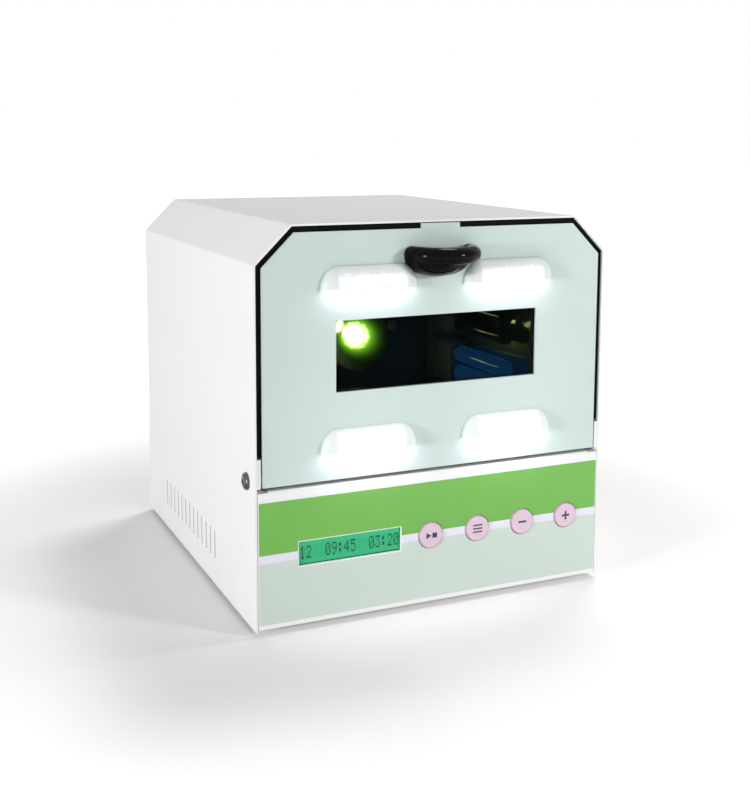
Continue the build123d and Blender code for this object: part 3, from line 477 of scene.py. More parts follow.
@dataclass(frozen=True)
class PrintedFilm:
    """Satin film printed in level bands: green, a pale stripe and a quiet grey-green."""

    name: str
    under: float
    band_low: float = 44.85 * MM
    stripe_low: float = 40.0 * MM
    edge: float = 0.12 * MM
    green: Colour = (0.165, 0.46, 0.075)
    stripe: Colour = (0.80, 0.78, 0.88)
    quiet: Colour = (0.60, 0.70, 0.63)
    worn: Colour = (0.9, 0.9, 0.9)
    wear: float = 0.03
    wear_grain: float = 22 * MM
    grain: float = 0.9 * MM
    relief: float = 0.012 * MM

    def material(self) -> Finish:
        """Build the film."""
        graph = Graph(self.name)
        height = graph.axes((0.0, 0.0, self.under))[2]
        grain = graph.noise(self.grain, 1.0)
        lower = graph.blend(height.over(self.stripe_low, self.edge), self.quiet, self.stripe)
        inks = graph.blend(height.over(self.band_low, self.edge), lower, self.green)
        worn = graph.blend(self.wear * graph.noise(self.wear_grain, 3.0), inks, self.worn)
        return graph.surface(Base_Color=worn, Roughness=0.34 + 0.08 * grain,
                             Normal=graph.bump(grain, self.relief), Specular_IOR_Level=0.35)


@dataclass(frozen=True)
class SillSeal:
    """Black rubber sill on a pale carrier strip along its foot."""

    name: str
    foot: float
    strip: float = 0.85 * MM
    edge: float = 0.04 * MM
    rubber: Colour = (0.0015, 0.0015, 0.002)
    carrier: Colour = (0.80, 0.81, 0.80)
    grain: float = 0.6 * MM
    relief: float = 0.02 * MM

    def material(self) -> Finish:
        """Build the seal's finish."""
        graph = Graph(self.name)
        height = graph.axes((0.0, 0.0, self.foot))[2]
        grain = graph.noise(self.grain)
        tone = graph.blend(height.over(self.strip, self.edge), self.carrier, self.rubber)
        return graph.surface(Base_Color=tone, Roughness=0.75 + 0.1 * grain,
                             Normal=graph.bump(grain, self.relief), Specular_IOR_Level=0.1)


@dataclass(frozen=True)
class KeyPrint:
    """Pale pink key with a printed ring near its edge."""

    name: str
    centre: Point
    radius: float
    ring_width: float = 0.55 * MM
    ring_edge: float = 0.15 * MM
    pink: Colour = (0.725, 0.555, 0.665)
    pale: Colour = (0.93, 0.80, 0.88)
    ring: Colour = (0.30, 0.08, 0.17)
    mottle: float = 0.08
    mottle_grain: float = 5 * MM
    grain: float = 0.7 * MM
    relief: float = 0.01 * MM

    def material(self) -> Finish:
        """Build the key's finish."""
        graph = Graph(self.name)
        x, _, z = graph.axes(self.centre)
        distance = (x * x + z * z) ** 0.5
        front = graph.facing()[1].under(-0.7, 0.1)
        rim = front * distance.over(self.radius - self.ring_width, self.ring_edge)
        tint = graph.blend(self.mottle * graph.noise(self.mottle_grain), self.pink, self.pale)
        return graph.surface(Base_Color=graph.blend(rim, tint, self.ring), Roughness=0.38,
                             Normal=graph.bump(graph.noise(self.grain), self.relief))


@dataclass(frozen=True)
class Moulding:
    """Moulded plastic or rubber with a fine spark-eroded grain."""

    name: str
    colour: Colour
    roughness: float
    grain: float = 0.6 * MM
    relief: float = 0.02 * MM
    specular: float = 0.4
    speckle: float = 1.12
    lift: float = 0.002

    def material(self) -> Finish:
        """Build the moulding's finish."""
        graph = Graph(self.name)
        speck = graph.noise(self.grain)
        lighter = tuple(min(1.0, value * self.speckle + self.lift) for value in self.colour)
        return graph.surface(Base_Color=graph.blend(speck, self.colour, lighter),
                             Roughness=self.roughness + 0.05 * speck,
                             Normal=graph.bump(speck, self.relief),
                             Specular_IOR_Level=self.specular)


@dataclass(frozen=True)
class Metal:
    """Bare or plated metal with brush lines along one axis."""

    name: str
    colour: Colour
    roughness: float
    brushed: Point = (1.0, 1.0, 1.0)
    grain: float = 0.8 * MM
    relief: float = 0.006 * MM
    dull: float = 0.86
    dull_grain: float = 12 * MM

    def material(self) -> Finish:
        """Build the metal."""
        graph = Graph(self.name)
        lines = graph.noise(self.grain, 2.0, self.brushed)
        duller = shaded(self.colour, self.dull)
        tone = graph.blend(graph.noise(self.dull_grain, 3.0), self.colour, duller)
        return graph.surface(Base_Color=tone, Metallic=1.0, Roughness=self.roughness + 0.1 * lines,
                             Normal=graph.bump(lines, self.relief))


@dataclass(frozen=True)
class TurnedMetal(Metal):
    """Metal faced on a lathe, with fine rings round an upright axis."""

    axis_x: float = 0.0
    axis_y: float = 0.0
    ring_pitch: float = 0.9 * MM
    shade: float = 0.9
    shade_grain: float = 9 * MM

    def material(self) -> Finish:
        """Build the metal."""
        graph = Graph(self.name)
        x, y, _ = graph.axes((self.axis_x, self.axis_y, 0.0))
        rings = ((x * x + y * y) ** 0.5 * (2 * math.pi / self.ring_pitch)).sine() * 0.5 + 0.5
        darker = shaded(self.colour, self.shade)
        tone = graph.blend(graph.noise(self.shade_grain), self.colour, darker)
        return graph.surface(Base_Color=tone, Metallic=1.0, Roughness=self.roughness + 0.08 * rings,
                             Normal=graph.bump(rings, self.relief))


@dataclass(frozen=True)
class Glass:
    """Glass or clear plastic, see-through by its alpha."""

    name: str
    colour: Colour
    alpha: float
    roughness: float = 0.03
    emission: Colour = (0.0, 0.0, 0.0)
    emission_strength: float = 0.0
    specular: float = 0.5
    streak: float = 30 * MM
    streak_share: float = 1.1

    def material(self) -> Finish:
        """Build the glass."""
        graph = Graph(self.name)
        film = graph.noise(self.streak)
        tone = graph.blend(film, self.colour, shaded(self.colour, self.streak_share))
        return graph.surface(Base_Color=tone, Roughness=self.roughness + 0.03 * film,
                             Alpha=self.alpha, Specular_IOR_Level=self.specular,
                             Emission_Color=self.emission, Emission_Strength=self.emission_strength)


@dataclass(frozen=True)
class DisplayGreen:
    """Back-lit green of a character display, with its faint unused cells."""

    name: str
    centre: Point
    colour: Colour = (0.036, 0.50, 0.215)
    bright: Colour = (0.05, 0.56, 0.25)
    cell: Colour = (0.033, 0.465, 0.205)
    frame: Colour = (0.006, 0.02, 0.018)
    window: tuple[float, float] = (63.5 * MM, 13.3 * MM)
    window_edge: float = 0.1 * MM
    pitch: float = 3.95 * MM
    cell_width: float = 3.2 * MM
    cell_height: float = 7.9 * MM
    cell_edge: float = 0.15 * MM
    mottle: float = 0.2
    mottle_grain: float = 14 * MM

    def material(self) -> Finish:
        """Build the display's finish."""
        graph = Graph(self.name)
        x, _, z = graph.axes(self.centre)
        place = abs(x.wrapped(self.pitch) - self.pitch / 2)
        rows = abs(z).under(self.cell_height / 2, self.cell_edge)
        cells = place.under(self.cell_width / 2, self.cell_edge) * rows
        green = graph.blend(self.mottle * graph.noise(self.mottle_grain), self.colour, self.bright)
        inks = graph.blend(cells, green, self.cell)
        width, height = self.window
        ends = abs(x).over(width / 2, self.window_edge)
        border = ends + abs(z).over(height / 2, self.window_edge)
        return graph.surface(Base_Color=graph.blend(border, inks, self.frame), Roughness=0.12,
                             Specular_IOR_Level=0.3)


@dataclass(frozen=True)
class LampBowl:
    """Bowl of a lamp, its inner face painted with a glow: the lamp's painted image, a painted
    highlight and a painted halo.
    """

    name: str
    centre: Point
    # Painted image of the lamp, a painted highlight beside it, and a painted halo that fades out.
    core_offset: Point = (4.6 * MM, 0.0, -1.6 * MM)
    core_radius: float = 8.6 * MM
    core_edge: float = 5 * MM
    flare_offset: Point = (-9.6 * MM, 0.0, 6.2 * MM)
    flare_radius: float = 4.6 * MM
    flare_edge: float = 4 * MM
    ripple: float = 5 * MM
    ripple_grain: float = 3 * MM
    reach: float = 23 * MM
    fading: float = 5
    halo_share: float = 5.5
    painted_core: Colour = (1.0, 1.0, 0.42)
    painted_halo: Colour = (0.30, 1.0, 0.03)
    rim: Colour = (0.0, 0.0002, 0.0)
    strength: float = 30.0
    mirror: Colour = (0.010, 0.022, 0.008)
    sheen_grain: float = 2 * MM
    grain: float = 1.5 * MM
    relief: float = 0.01 * MM

    def away(self, graph: Graph, offset: Point) -> Scalar:
        """Return the distance from a line beside the bowl's axis."""
        x, _, z = graph.axes(tuple(a + b for a, b in zip(self.centre, offset)))
        return (x * x + z * z) ** 0.5

    def material(self) -> Finish:
        """Build the bowl's finish, with the painted glow on its inner face only."""
        graph = Graph(self.name)
        ripple = self.ripple * (graph.noise(self.ripple_grain) - 0.5)
        # Painted image of the burning lamp in the bowl.
        distance = self.away(graph, self.core_offset)
        painted_core_mask = (distance + ripple).under(self.core_radius, self.core_edge)
        # Painted highlight of the lamp on a facet near the rim.
        beside = self.away(graph, self.flare_offset) + ripple
        painted_flare = beside.under(self.flare_radius, self.flare_edge)
        # Painted halo round the painted image.
        fading = (1.0 - distance / self.reach).floor(0.0) ** self.fading
        painted_halo = graph.blend(self.halo_share * fading, self.rim, self.painted_halo)
        painted_glow = graph.blend(painted_core_mask + painted_flare, painted_halo, self.painted_core)
        inside = graph.facing()[1].under(0.0, 0.1)
        return graph.surface(Base_Color=self.mirror, Metallic=0.25, Specular_IOR_Level=0.0,
                             Roughness=0.30 + 0.06 * graph.noise(self.sheen_grain),
                             Normal=graph.bump(graph.noise(self.grain), self.relief),
                             Emission_Color=graph.blend(inside, (0.0, 0.0, 0.0), painted_glow),
                             Emission_Strength=self.strength)


@dataclass(frozen=True)
class Board:
    """Circuit board: solder mask with tracks under it."""

    name: str
    mask: Colour = (0.02, 0.13, 0.06)
    track: Colour = (0.05, 0.24, 0.10)
    pitch: float = 2.54 * MM
    wave: float = 0.6 * MM
    wave_length: float = 9 * MM
    half_track: float = 0.35 * MM
    track_edge: float = 0.1 * MM
    relief: float = 0.03 * MM

    def material(self) -> Finish:
        """Build the board's finish."""
        graph = Graph(self.name)
        x, _, z = graph.axes()
        lanes = (z + self.wave * (x * (math.pi / self.wave_length)).sine()).wrapped(self.pitch)
        tracks = abs(lanes - self.pitch / 2).under(self.half_track, self.track_edge)
        return graph.surface(Base_Color=graph.blend(tracks, self.mask, self.track),
                             Roughness=0.35, Normal=graph.bump(tracks, self.relief))


# ---------------------------------------------------------------- modelling
class Bench:
    """Modelling operators, each on one piece at a time."""

    @staticmethod
    def clear() -> None:
        """Leave edit mode and deselect everything."""
        if bpy.context.mode != "OBJECT":
            bpy.ops.object.mode_set(mode="OBJECT")
        bpy.ops.object.select_all(action="DESELECT")

    @classmethod
    def pick(cls, piece: Piece) -> None:
        """Make a piece the only one selected, and active."""
        cls.clear()
        piece.select_set(True)
        bpy.context.view_layer.objects.active = piece

    @classmethod
    def edit(cls, piece: Piece) -> None:
        """Open a piece in edit mode with everything in it selected."""
        cls.pick(piece)
        bpy.ops.object.mode_set(mode="EDIT")
        bpy.ops.mesh.select_all(action="SELECT")

    @classmethod
    def choose(cls, piece: Piece, kind: str, test: Callable[[Any], bool]) -> None:
        """Open a piece in edit mode with some of its parts selected.

        Args:
            piece: The piece.
            kind: Which parts: "verts" or "faces".
            test: Tells whether a part is chosen.
        """
        cls.edit(piece)
        bpy.ops.mesh.select_all(action="DESELECT")
        mesh = bmesh.from_edit_mesh(piece.data)
        for part in getattr(mesh, kind):
            if test(part):
                part.select_set(True)
        bmesh.update_edit_mesh(piece.data)

    @classmethod
    def close(cls, piece: Piece, smooth: float = 35.0) -> None:
        """Merge doubles, turn faces outwards, leave edit mode and smooth by angle.

        Args:
            piece: The piece.
            smooth: Edges sharper than this many degrees stay sharp.
        """
        cls.edit(piece)
        bpy.ops.mesh.remove_doubles(threshold=1e-7)
        bpy.ops.mesh.normals_make_consistent(inside=False)
        cls.pick(piece)
        bpy.ops.object.shade_smooth_by_angle(angle=math.radians(smooth))

    @classmethod
    def lathe(cls, name: str, outline: Sequence[tuple[float, float]], steps: int = 40,
              closed: bool = False, smooth: float = 35.0) -> Piece:
        """Turn an outline about Z, ring by ring.

        Args:
            name: Name of the piece.
            outline: Radius and height of each ring. With closed unset, the first and last
                rings are filled.
            steps: Sides of a ring.
            closed: Join the last ring to the first, for a hollow form.
            smooth: Edges sharper than this many degrees stay sharp.

        Returns:
            The piece, standing on the axis.
        """
        cls.clear()
        radius, level = outline[0]
        bpy.ops.mesh.primitive_circle_add(vertices=steps, radius=radius, location=(0, 0, level),
                                          fill_type="NOTHING" if closed else "NGON")
        piece = bpy.context.active_object
        piece.name = name
        bpy.ops.object.transform_apply(location=True, rotation=False, scale=False)
        cls.edit(piece)
        rings = list(outline[1:]) + ([outline[0]] if closed else [])
        for next_radius, next_level in rings:
            bpy.ops.mesh.extrude_region_move(
                TRANSFORM_OT_translate={"value": (0, 0, next_level - level)})
            factor = next_radius / radius
            bpy.ops.transform.resize(value=(factor, factor, 1), center_override=(0, 0, next_level))
            radius, level = next_radius, next_level
        cls.close(piece, smooth)
        return piece

    @classmethod
    def sleeve(cls, name: str, radii: tuple[float, float], reach: tuple[float, float]) -> Piece:
        """Make a plain tube.

        Args:
            name: Name of the piece.
            radii: Its bore's radius and its outer radius.
            reach: Heights of its two ends.

        Returns:
            The tube, standing on the axis.
        """
        (inner, outer), (start, end) = radii, reach
        outline = [(inner, start), (outer, start), (outer, end), (inner, end)]
        return cls.lathe(name, outline, 32, closed=True)

    @classmethod
    def box(cls, name: str, size: Point, centre: Point = (0, 0, 0), bevel: float = 0.0,
            segments: int = 2) -> Piece:
        """Block with bevelled edges.

        Args:
            name: Name of the piece.
            size: Its extent along X, Y and Z.
            centre: Its middle.
            bevel: Width of the bevel, or 0 for none.
            segments: Facets across the bevel.

        Returns:
            The piece.
        """
        cls.clear()
        bpy.ops.mesh.primitive_cube_add(size=1, location=centre)
        piece = bpy.context.active_object
        piece.name = name
        piece.scale = size
        bpy.ops.object.transform_apply(location=True, rotation=False, scale=True)
        if bevel:
            cls.edit(piece)
            bpy.ops.mesh.bevel(offset=bevel, segments=segments, affect="EDGES")
        cls.close(piece)
        return piece

    @classmethod
    def raised(cls, piece: Piece, height: float) -> Piece:
        """Give a flat shape in the XY plane a thickness along +Z.

        Args:
            piece: The shape.
            height: Its thickness.

        Returns:
            The piece.
        """
        cls.edit(piece)
        bpy.ops.mesh.extrude_region_move(TRANSFORM_OT_translate={"value": (0, 0, height)})
        cls.close(piece)
        return piece

    @classmethod
    def join(cls, name: str, pieces: Sequence[Piece]) -> Piece:
        """Join pieces into one object.

        Args:
            name: Name of the whole.
            pieces: The pieces.

        Returns:
            The whole.
        """
        cls.pick(pieces[0])
        for piece in pieces[1:]:
            piece.select_set(True)
        if len(pieces) > 1:
            bpy.ops.object.join()
        pieces[0].name = name
        return pieces[0]

    @classmethod
    def combine(cls, piece: Piece, other: Piece, operation: str) -> Piece:
        """Change a piece by another one, which is thrown away.

        Args:
            piece: The piece.
            other: The one that changes it.
            operation: Name of the Boolean modifier's operation.

        Returns:
            The piece.
        """
        cls.pick(piece)
        modifier = piece.modifiers.new("combine", "BOOLEAN")
        modifier.operation = operation
        modifier.solver = "EXACT"
        modifier.object = other
        bpy.ops.object.modifier_apply(modifier=modifier.name)
        bpy.data.objects.remove(other)
        return piece

    @classmethod
    def cut(cls, piece: Piece, cutter: Piece) -> Piece:
        """Take a cutter out of a piece and throw the cutter away."""
        cls.combine(piece, cutter, "DIFFERENCE")
        cls.close(piece)
        return piece

    @classmethod
    def copy(cls, piece: Piece, name: str) -> Piece:
        """Copy a piece with a mesh of its own.

        Args:
            piece: The piece.
            name: Name of the copy.

        Returns:
            The copy.
        """
        made = piece.copy()
        made.data = piece.data.copy()
        made.name = name
        bpy.context.scene.collection.objects.link(made)
        return made

    @classmethod
    def place(cls, piece: Piece, at: Point, facing: Facing = Facing.UP,
              spin: float = 0.0) -> Piece:
        """Turn and move a piece, and keep its place in its mesh.

        Args:
            piece: The piece, modelled round the origin with its axis along +Z.
            at: Where its origin goes.
            facing: Where its axis points.
            spin: Turn about its own axis first, in radians.

        Returns:
            The piece.
        """
        turn = Euler(facing.value).to_matrix() @ Matrix.Rotation(spin, 3, "Z")
        piece.matrix_world = Matrix.Translation(Vector(at)) @ turn.to_4x4()
        cls.pick(piece)
        bpy.ops.object.transform_apply(location=True, rotation=True, scale=True)
        return piece


def dress(piece: Piece, material: Finish, body: Body) -> Piece:
    """Paint a piece and let it ride.

    Args:
        piece: The piece, in place.
        material: Its finish.
        body: The body that carries it.

    Returns:
        The piece.
    """
    piece.data.materials.clear()
    piece.data.materials.append(material)
    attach(piece, body.value)
    log.info("%s rides on %s", piece.name, body.value)
    return piece


class NodeBox:
    """Box of a frame node at rest."""

    def __init__(self, node: str) -> None:
        """Measure a node."""
        self.low, self.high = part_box(node)
        x, y, z = ((low + high) / 2 for low, high in zip(self.low, self.high))
        self.middle = (x, y, z)
        self.front = (x, self.low[1], z)
        self.rear = (x, self.high[1], z)
        self.half_width = (self.high[0] - self.low[0]) / 2
        self.depth = self.high[1] - self.low[1]


def node_islands(node: Piece) -> list[tuple[Vector, Vector]]:
    """Find the separate solids of a frame node.

    Args:
        node: The node's object.

    Returns:
        Lowest and highest corner of each solid.
    """
    mesh = bmesh.new()
    mesh.from_mesh(node.data)
    bmesh.ops.remove_doubles(mesh, verts=mesh.verts, dist=1e-6)
    left = set(mesh.verts)
    boxes = []
    while left:
        stack = [left.pop()]
        points = []
        while stack:
            vertex = stack.pop()
            points.append(vertex.co.copy())
            for edge in vertex.link_edges:
                other = edge.other_vert(vertex)
                if other in left:
                    left.remove(other)
                    stack.append(other)
        boxes.append((Vector(min(p[i] for p in points) for i in range(3)),
                      Vector(max(p[i] for p in points) for i in range(3))))
    mesh.free()
    return sorted(boxes, key=lambda box: tuple(round(value, 5) for value in box[0]))


# ---------------------------------------------------------------- sub-assemblies
@dataclass
class Paintwork:
    """Every finish of the record's slots, and the frame nodes that wear it."""

    frame: dict[str, Any]
    finishes: dict[str, Finish] = field(default_factory=dict)

    def mix(self) -> None:
        """Build the shared finishes."""
        under = NodeBox("outer_cover").low[2]
        disc = NodeBox("turntable_disc").middle
        coats = {
            "casing_paint": PowderCoat("casing_coat", (0.895, 0.90, 0.89), 0.62, specular=0.0),
            # The door's coat carries a painted glow and a painted lighter tone on its hoods.
            "door_paint": LouvredCoat("door_coat", (0.56, 0.675, 0.632), peel=1.1 * MM,
                                      relief=0.09 * MM, under=under,
                                      front=NodeBox("front_fascia").low[1]),
            "print_film": PrintedFilm("front_film", under),
            "display_window": DisplayGreen("display_green", NodeBox("display_lens").middle),
            "display_parts": Moulding("display_frame", (0.02, 0.022, 0.022), 0.3),
            "circuit_board": Board("circuit_board"),
            "filter_glass": Glass("filter_glass", (0.0004, 0.0009, 0.0006), 0.72, 0.02,
                                  specular=0.012),
            "pull_plastic": Moulding("pull_black", (0.0016, 0.0015, 0.002), 0.05, 4 * MM,
                                     0.01 * MM, specular=0.06),
            "seal_rubber": Moulding("seal_black", (0.0015, 0.0015, 0.002), 0.8, specular=0.1),
            "hinge_steel": PowderCoat("hinge_coat", (0.86, 0.865, 0.86), 0.4),
            "screw_steel": Metal("nickel_plate", (0.60, 0.61, 0.60), 0.22),
            "chamber_mirror": Metal("mirror_sheet", (0.30, 0.31, 0.32), 0.14, (1, 0.05, 1)),
            "uv_glass": Glass("lamp_tube", (0.04, 0.06, 0.14), 0.92, 0.03,
                              (0.004, 0.12, 0.36), 1.6),
            "lamp_plastic": Moulding("lamp_base_white", (0.78, 0.78, 0.75), 0.45),
            "reflector_glass": Metal("reflector_back", (0.75, 0.77, 0.8), 0.12),
            "capsule_glass": Glass("capsule_quartz", (0.9, 0.92, 0.88), 0.55),
            "plated_steel": Metal("zinc_plate", (0.62, 0.63, 0.65), 0.3, (1, 1, 0.1)),
            "turntable_metal": TurnedMetal("turned_plate", (0.80, 0.81, 0.82), 0.16,
                                           axis_x=disc[0], axis_y=disc[1]),
            "fan_plastic": Moulding("fan_black", (0.012, 0.012, 0.013), 0.5),
            "inlet_plastic": Moulding("inlet_black", (0.010, 0.010, 0.011), 0.42),
            "rocker_plastic": Moulding("rocker_black", (0.006, 0.006, 0.007), 0.2, 2 * MM,
                                       0.01 * MM),
            "magnet_block": Moulding("magnet_white", (0.80, 0.80, 0.77), 0.4),
            "ballast_aluminium": Metal("ballast_case", (0.70, 0.71, 0.72), 0.35, (1, 0.08, 1)),
            "transformer_iron": Moulding("lacquered_iron", (0.06, 0.052, 0.05), 0.4),
            "foot_rubber": Moulding("foot_rubber", (0.012, 0.012, 0.012), 0.7),
        }
        for slot, finish in coats.items():
            self.finishes[slot] = finish.material()

    def apply(self) -> None:
        """Paint every frame node with its slot's finish, and four nodes with their own."""
        for entry in self.frame["record"]["subparts"]:
            slot = entry["material_slot"]
            if slot in self.finishes:
                self.paint(entry["node"], self.finishes[slot])
        resting = Glass("lamp_tube_off", (0.012, 0.018, 0.03), 0.92, 0.02, specular=0.2)
        satin = Metal("satin_sheet", (0.20, 0.205, 0.21), 0.32, (0.05, 1, 1))
        unlit = resting.material()
        self.paint("uv_tube_upper_left", unlit)
        self.paint("uv_tube_upper_right", unlit)
        self.paint("chamber_back", satin.material())
        self.paint("sill_seal", SillSeal("sill_rubber", NodeBox("sill_seal").low[2]).material())

    def paint(self, node: str, material: Finish) -> None:
        """Paint one frame node."""
        mesh = self.frame["nodes"][node].data
        mesh.materials.clear()
        mesh.materials.append(material)


class Symbol(Enum):
    """Printed symbols of the keys, as plates: centre X, centre Z, width, height in mm."""

    LIST = ((0.0, 2.1, 6.4, 0.85), (0.0, 0.0, 6.4, 0.85), (0.0, -2.1, 6.4, 0.85))
    MINUS = ((0.0, 0.0, 5.6, 1.25),)
    PLUS = ((0.0, 0.0, 5.6, 1.25), (0.0, 1.71, 1.25, 2.17), (0.0, -1.71, 1.25, 2.17))
    START_STOP = ((2.3, 0.0, 3.1, 3.1),)


@dataclass
class Keys:
    """Four round keys with generic printed symbols."""

    paint: Paintwork
    print_radius: float = 8.0 * MM
    ink_height: float = 0.05 * MM
    ink_lift: float = 0.005 * MM
    triangle_radius: float = 2.2 * MM
    triangle_x: float = -2.2 * MM
    symbols: dict[Body, Symbol] = field(default_factory=lambda: {
        Body.START_KEY: Symbol.START_STOP, Body.PROGRAM_KEY: Symbol.LIST,
        Body.MINUS_KEY: Symbol.MINUS, Body.PLUS_KEY: Symbol.PLUS})

    def plates(self, name: str, symbol: Symbol) -> list[Piece]:
        """Make the flat plates of a symbol.

        Args:
            name: Name of the key's node.
            symbol: The symbol.

        Returns:
            One piece for each plate, in the XY plane.
        """
        made = []
        for number, (x, z, width, height) in enumerate(symbol.value):
            Bench.clear()
            bpy.ops.mesh.primitive_plane_add(size=1, location=(x * MM, z * MM, 0))
            plate = bpy.context.active_object
            plate.name = f"{name}_{number}"
            plate.scale = (width * MM, height * MM, 1)
            bpy.ops.object.transform_apply(location=True, rotation=False, scale=True)
            made.append(plate)
        return made

    def triangle(self) -> Piece:
        """Make the start triangle, pointing to the right."""
        Bench.clear()
        bpy.ops.mesh.primitive_circle_add(vertices=3, radius=self.triangle_radius,
                                          fill_type="NGON", rotation=(0, 0, -math.pi / 2),
                                          location=(self.triangle_x, 0, 0))
        bpy.ops.object.transform_apply(location=True, rotation=True, scale=False)
        return bpy.context.active_object

    def build(self) -> None:
        """Print the keys."""
        ink = Moulding("key_ink", (0.055, 0.035, 0.085), 0.5).material()
        for body, symbol in self.symbols.items():
            node = f"key_{body.value.removesuffix('_key')}"
            x, y, z = NodeBox(node).front
            finish = KeyPrint(f"{node}_print", (x, y, z), self.print_radius)
            self.paint.paint(node, finish.material())
            plates = self.plates(node, symbol)
            if symbol is Symbol.START_STOP:
                plates.append(self.triangle())
            mark = Bench.raised(Bench.join(f"{node}_symbol", plates), self.ink_height)
            Bench.place(mark, (x, y - self.ink_lift, z), Facing.FRONT)
            dress(mark, ink, body)


@dataclass
class Display:
    """One line of plain numbers on the green display window."""

    line: str = "12  09:45  03:20"
    pitch: float = 3.95 * MM
    dot_height: float = 1.07 * MM
    dot_gap: float = 0.015 * MM
    thickness: float = 0.02 * MM
    lift: float = 0.01 * MM
    columns: int = 5
    glyphs: dict[str, tuple[str, ...]] = field(default_factory=lambda: {
        "0": (" ### ", "#   #", "#  ##", "# # #", "##  #", "#   #", " ### "),
        "1": ("  #  ", " ##  ", "  #  ", "  #  ", "  #  ", "  #  ", " ### "),
        "2": (" ### ", "#   #", "    #", "   # ", "  #  ", " #   ", "#####"),
        "3": ("#####", "   # ", "  #  ", "   # ", "    #", "#   #", " ### "),
        "4": ("   # ", "  ## ", " # # ", "#  # ", "#####", "   # ", "   # "),
        "5": ("#####", "#    ", "#### ", "    #", "    #", "#   #", " ### "),
        "9": (" ### ", "#   #", "#   #", " ####", "    #", "   # ", " ##  "),
        ":": ("     ", " ##  ", " ##  ", "     ", " ##  ", " ##  ", "     "),
        " ": ("     ",) * 7})

    def lit(self, column: int, row: int) -> bool:
        """Tell whether a dot of the line shows.

        Args:
            column: Dot column from the left, gaps between characters included.
            row: Dot row from the top.

        Returns:
            True for a dark dot.
        """
        place, across = divmod(column, self.columns + 1)
        return across < self.columns and self.glyphs[self.line[place]][row][across] == "#"

    def build(self) -> None:
        """Make the characters as one dot grid with the blank dots taken out."""
        rows = len(self.glyphs["0"])
        columns = len(self.line) * (self.columns + 1) - 1
        step = self.pitch / (self.columns + 1)
        width, height = columns * step, rows * self.dot_height
        Bench.clear()
        bpy.ops.mesh.primitive_grid_add(x_subdivisions=columns, y_subdivisions=rows, size=1)
        grid = bpy.context.active_object
        grid.name = "display_characters"
        grid.scale = (width, height, 1)
        bpy.ops.object.transform_apply(location=False, rotation=False, scale=True)

        def blank(face: bmesh.types.BMFace) -> bool:
            """Tell whether a face of the grid is a dot that doesn't show."""
            x, y, _ = face.calc_center_median()
            row = rows - 1 - int((y + height / 2) / self.dot_height)
            return not self.lit(int((x + width / 2) / step), row)

        Bench.choose(grid, "faces", blank)
        bpy.ops.mesh.delete(type="FACE")
        bpy.ops.mesh.select_all(action="SELECT")
        bpy.ops.mesh.edge_split(type="EDGE")
        bpy.ops.mesh.select_mode(type="FACE")
        bpy.ops.mesh.select_all(action="SELECT")
        bpy.ops.mesh.inset(thickness=self.dot_gap, use_individual=True)
        bpy.ops.mesh.select_all(action="INVERT")
        bpy.ops.mesh.delete(type="FACE")
        bpy.ops.mesh.select_mode(type="VERT")
        Bench.raised(grid, self.thickness)
        x, y, z = NodeBox("display_lens").front
        Bench.place(grid, (x, y - self.lift, z), Facing.FRONT)
        ink = Moulding("display_ink", (0.006, 0.085, 0.075), 0.3)
        dress(grid, ink.material(), Body.HOUSING)


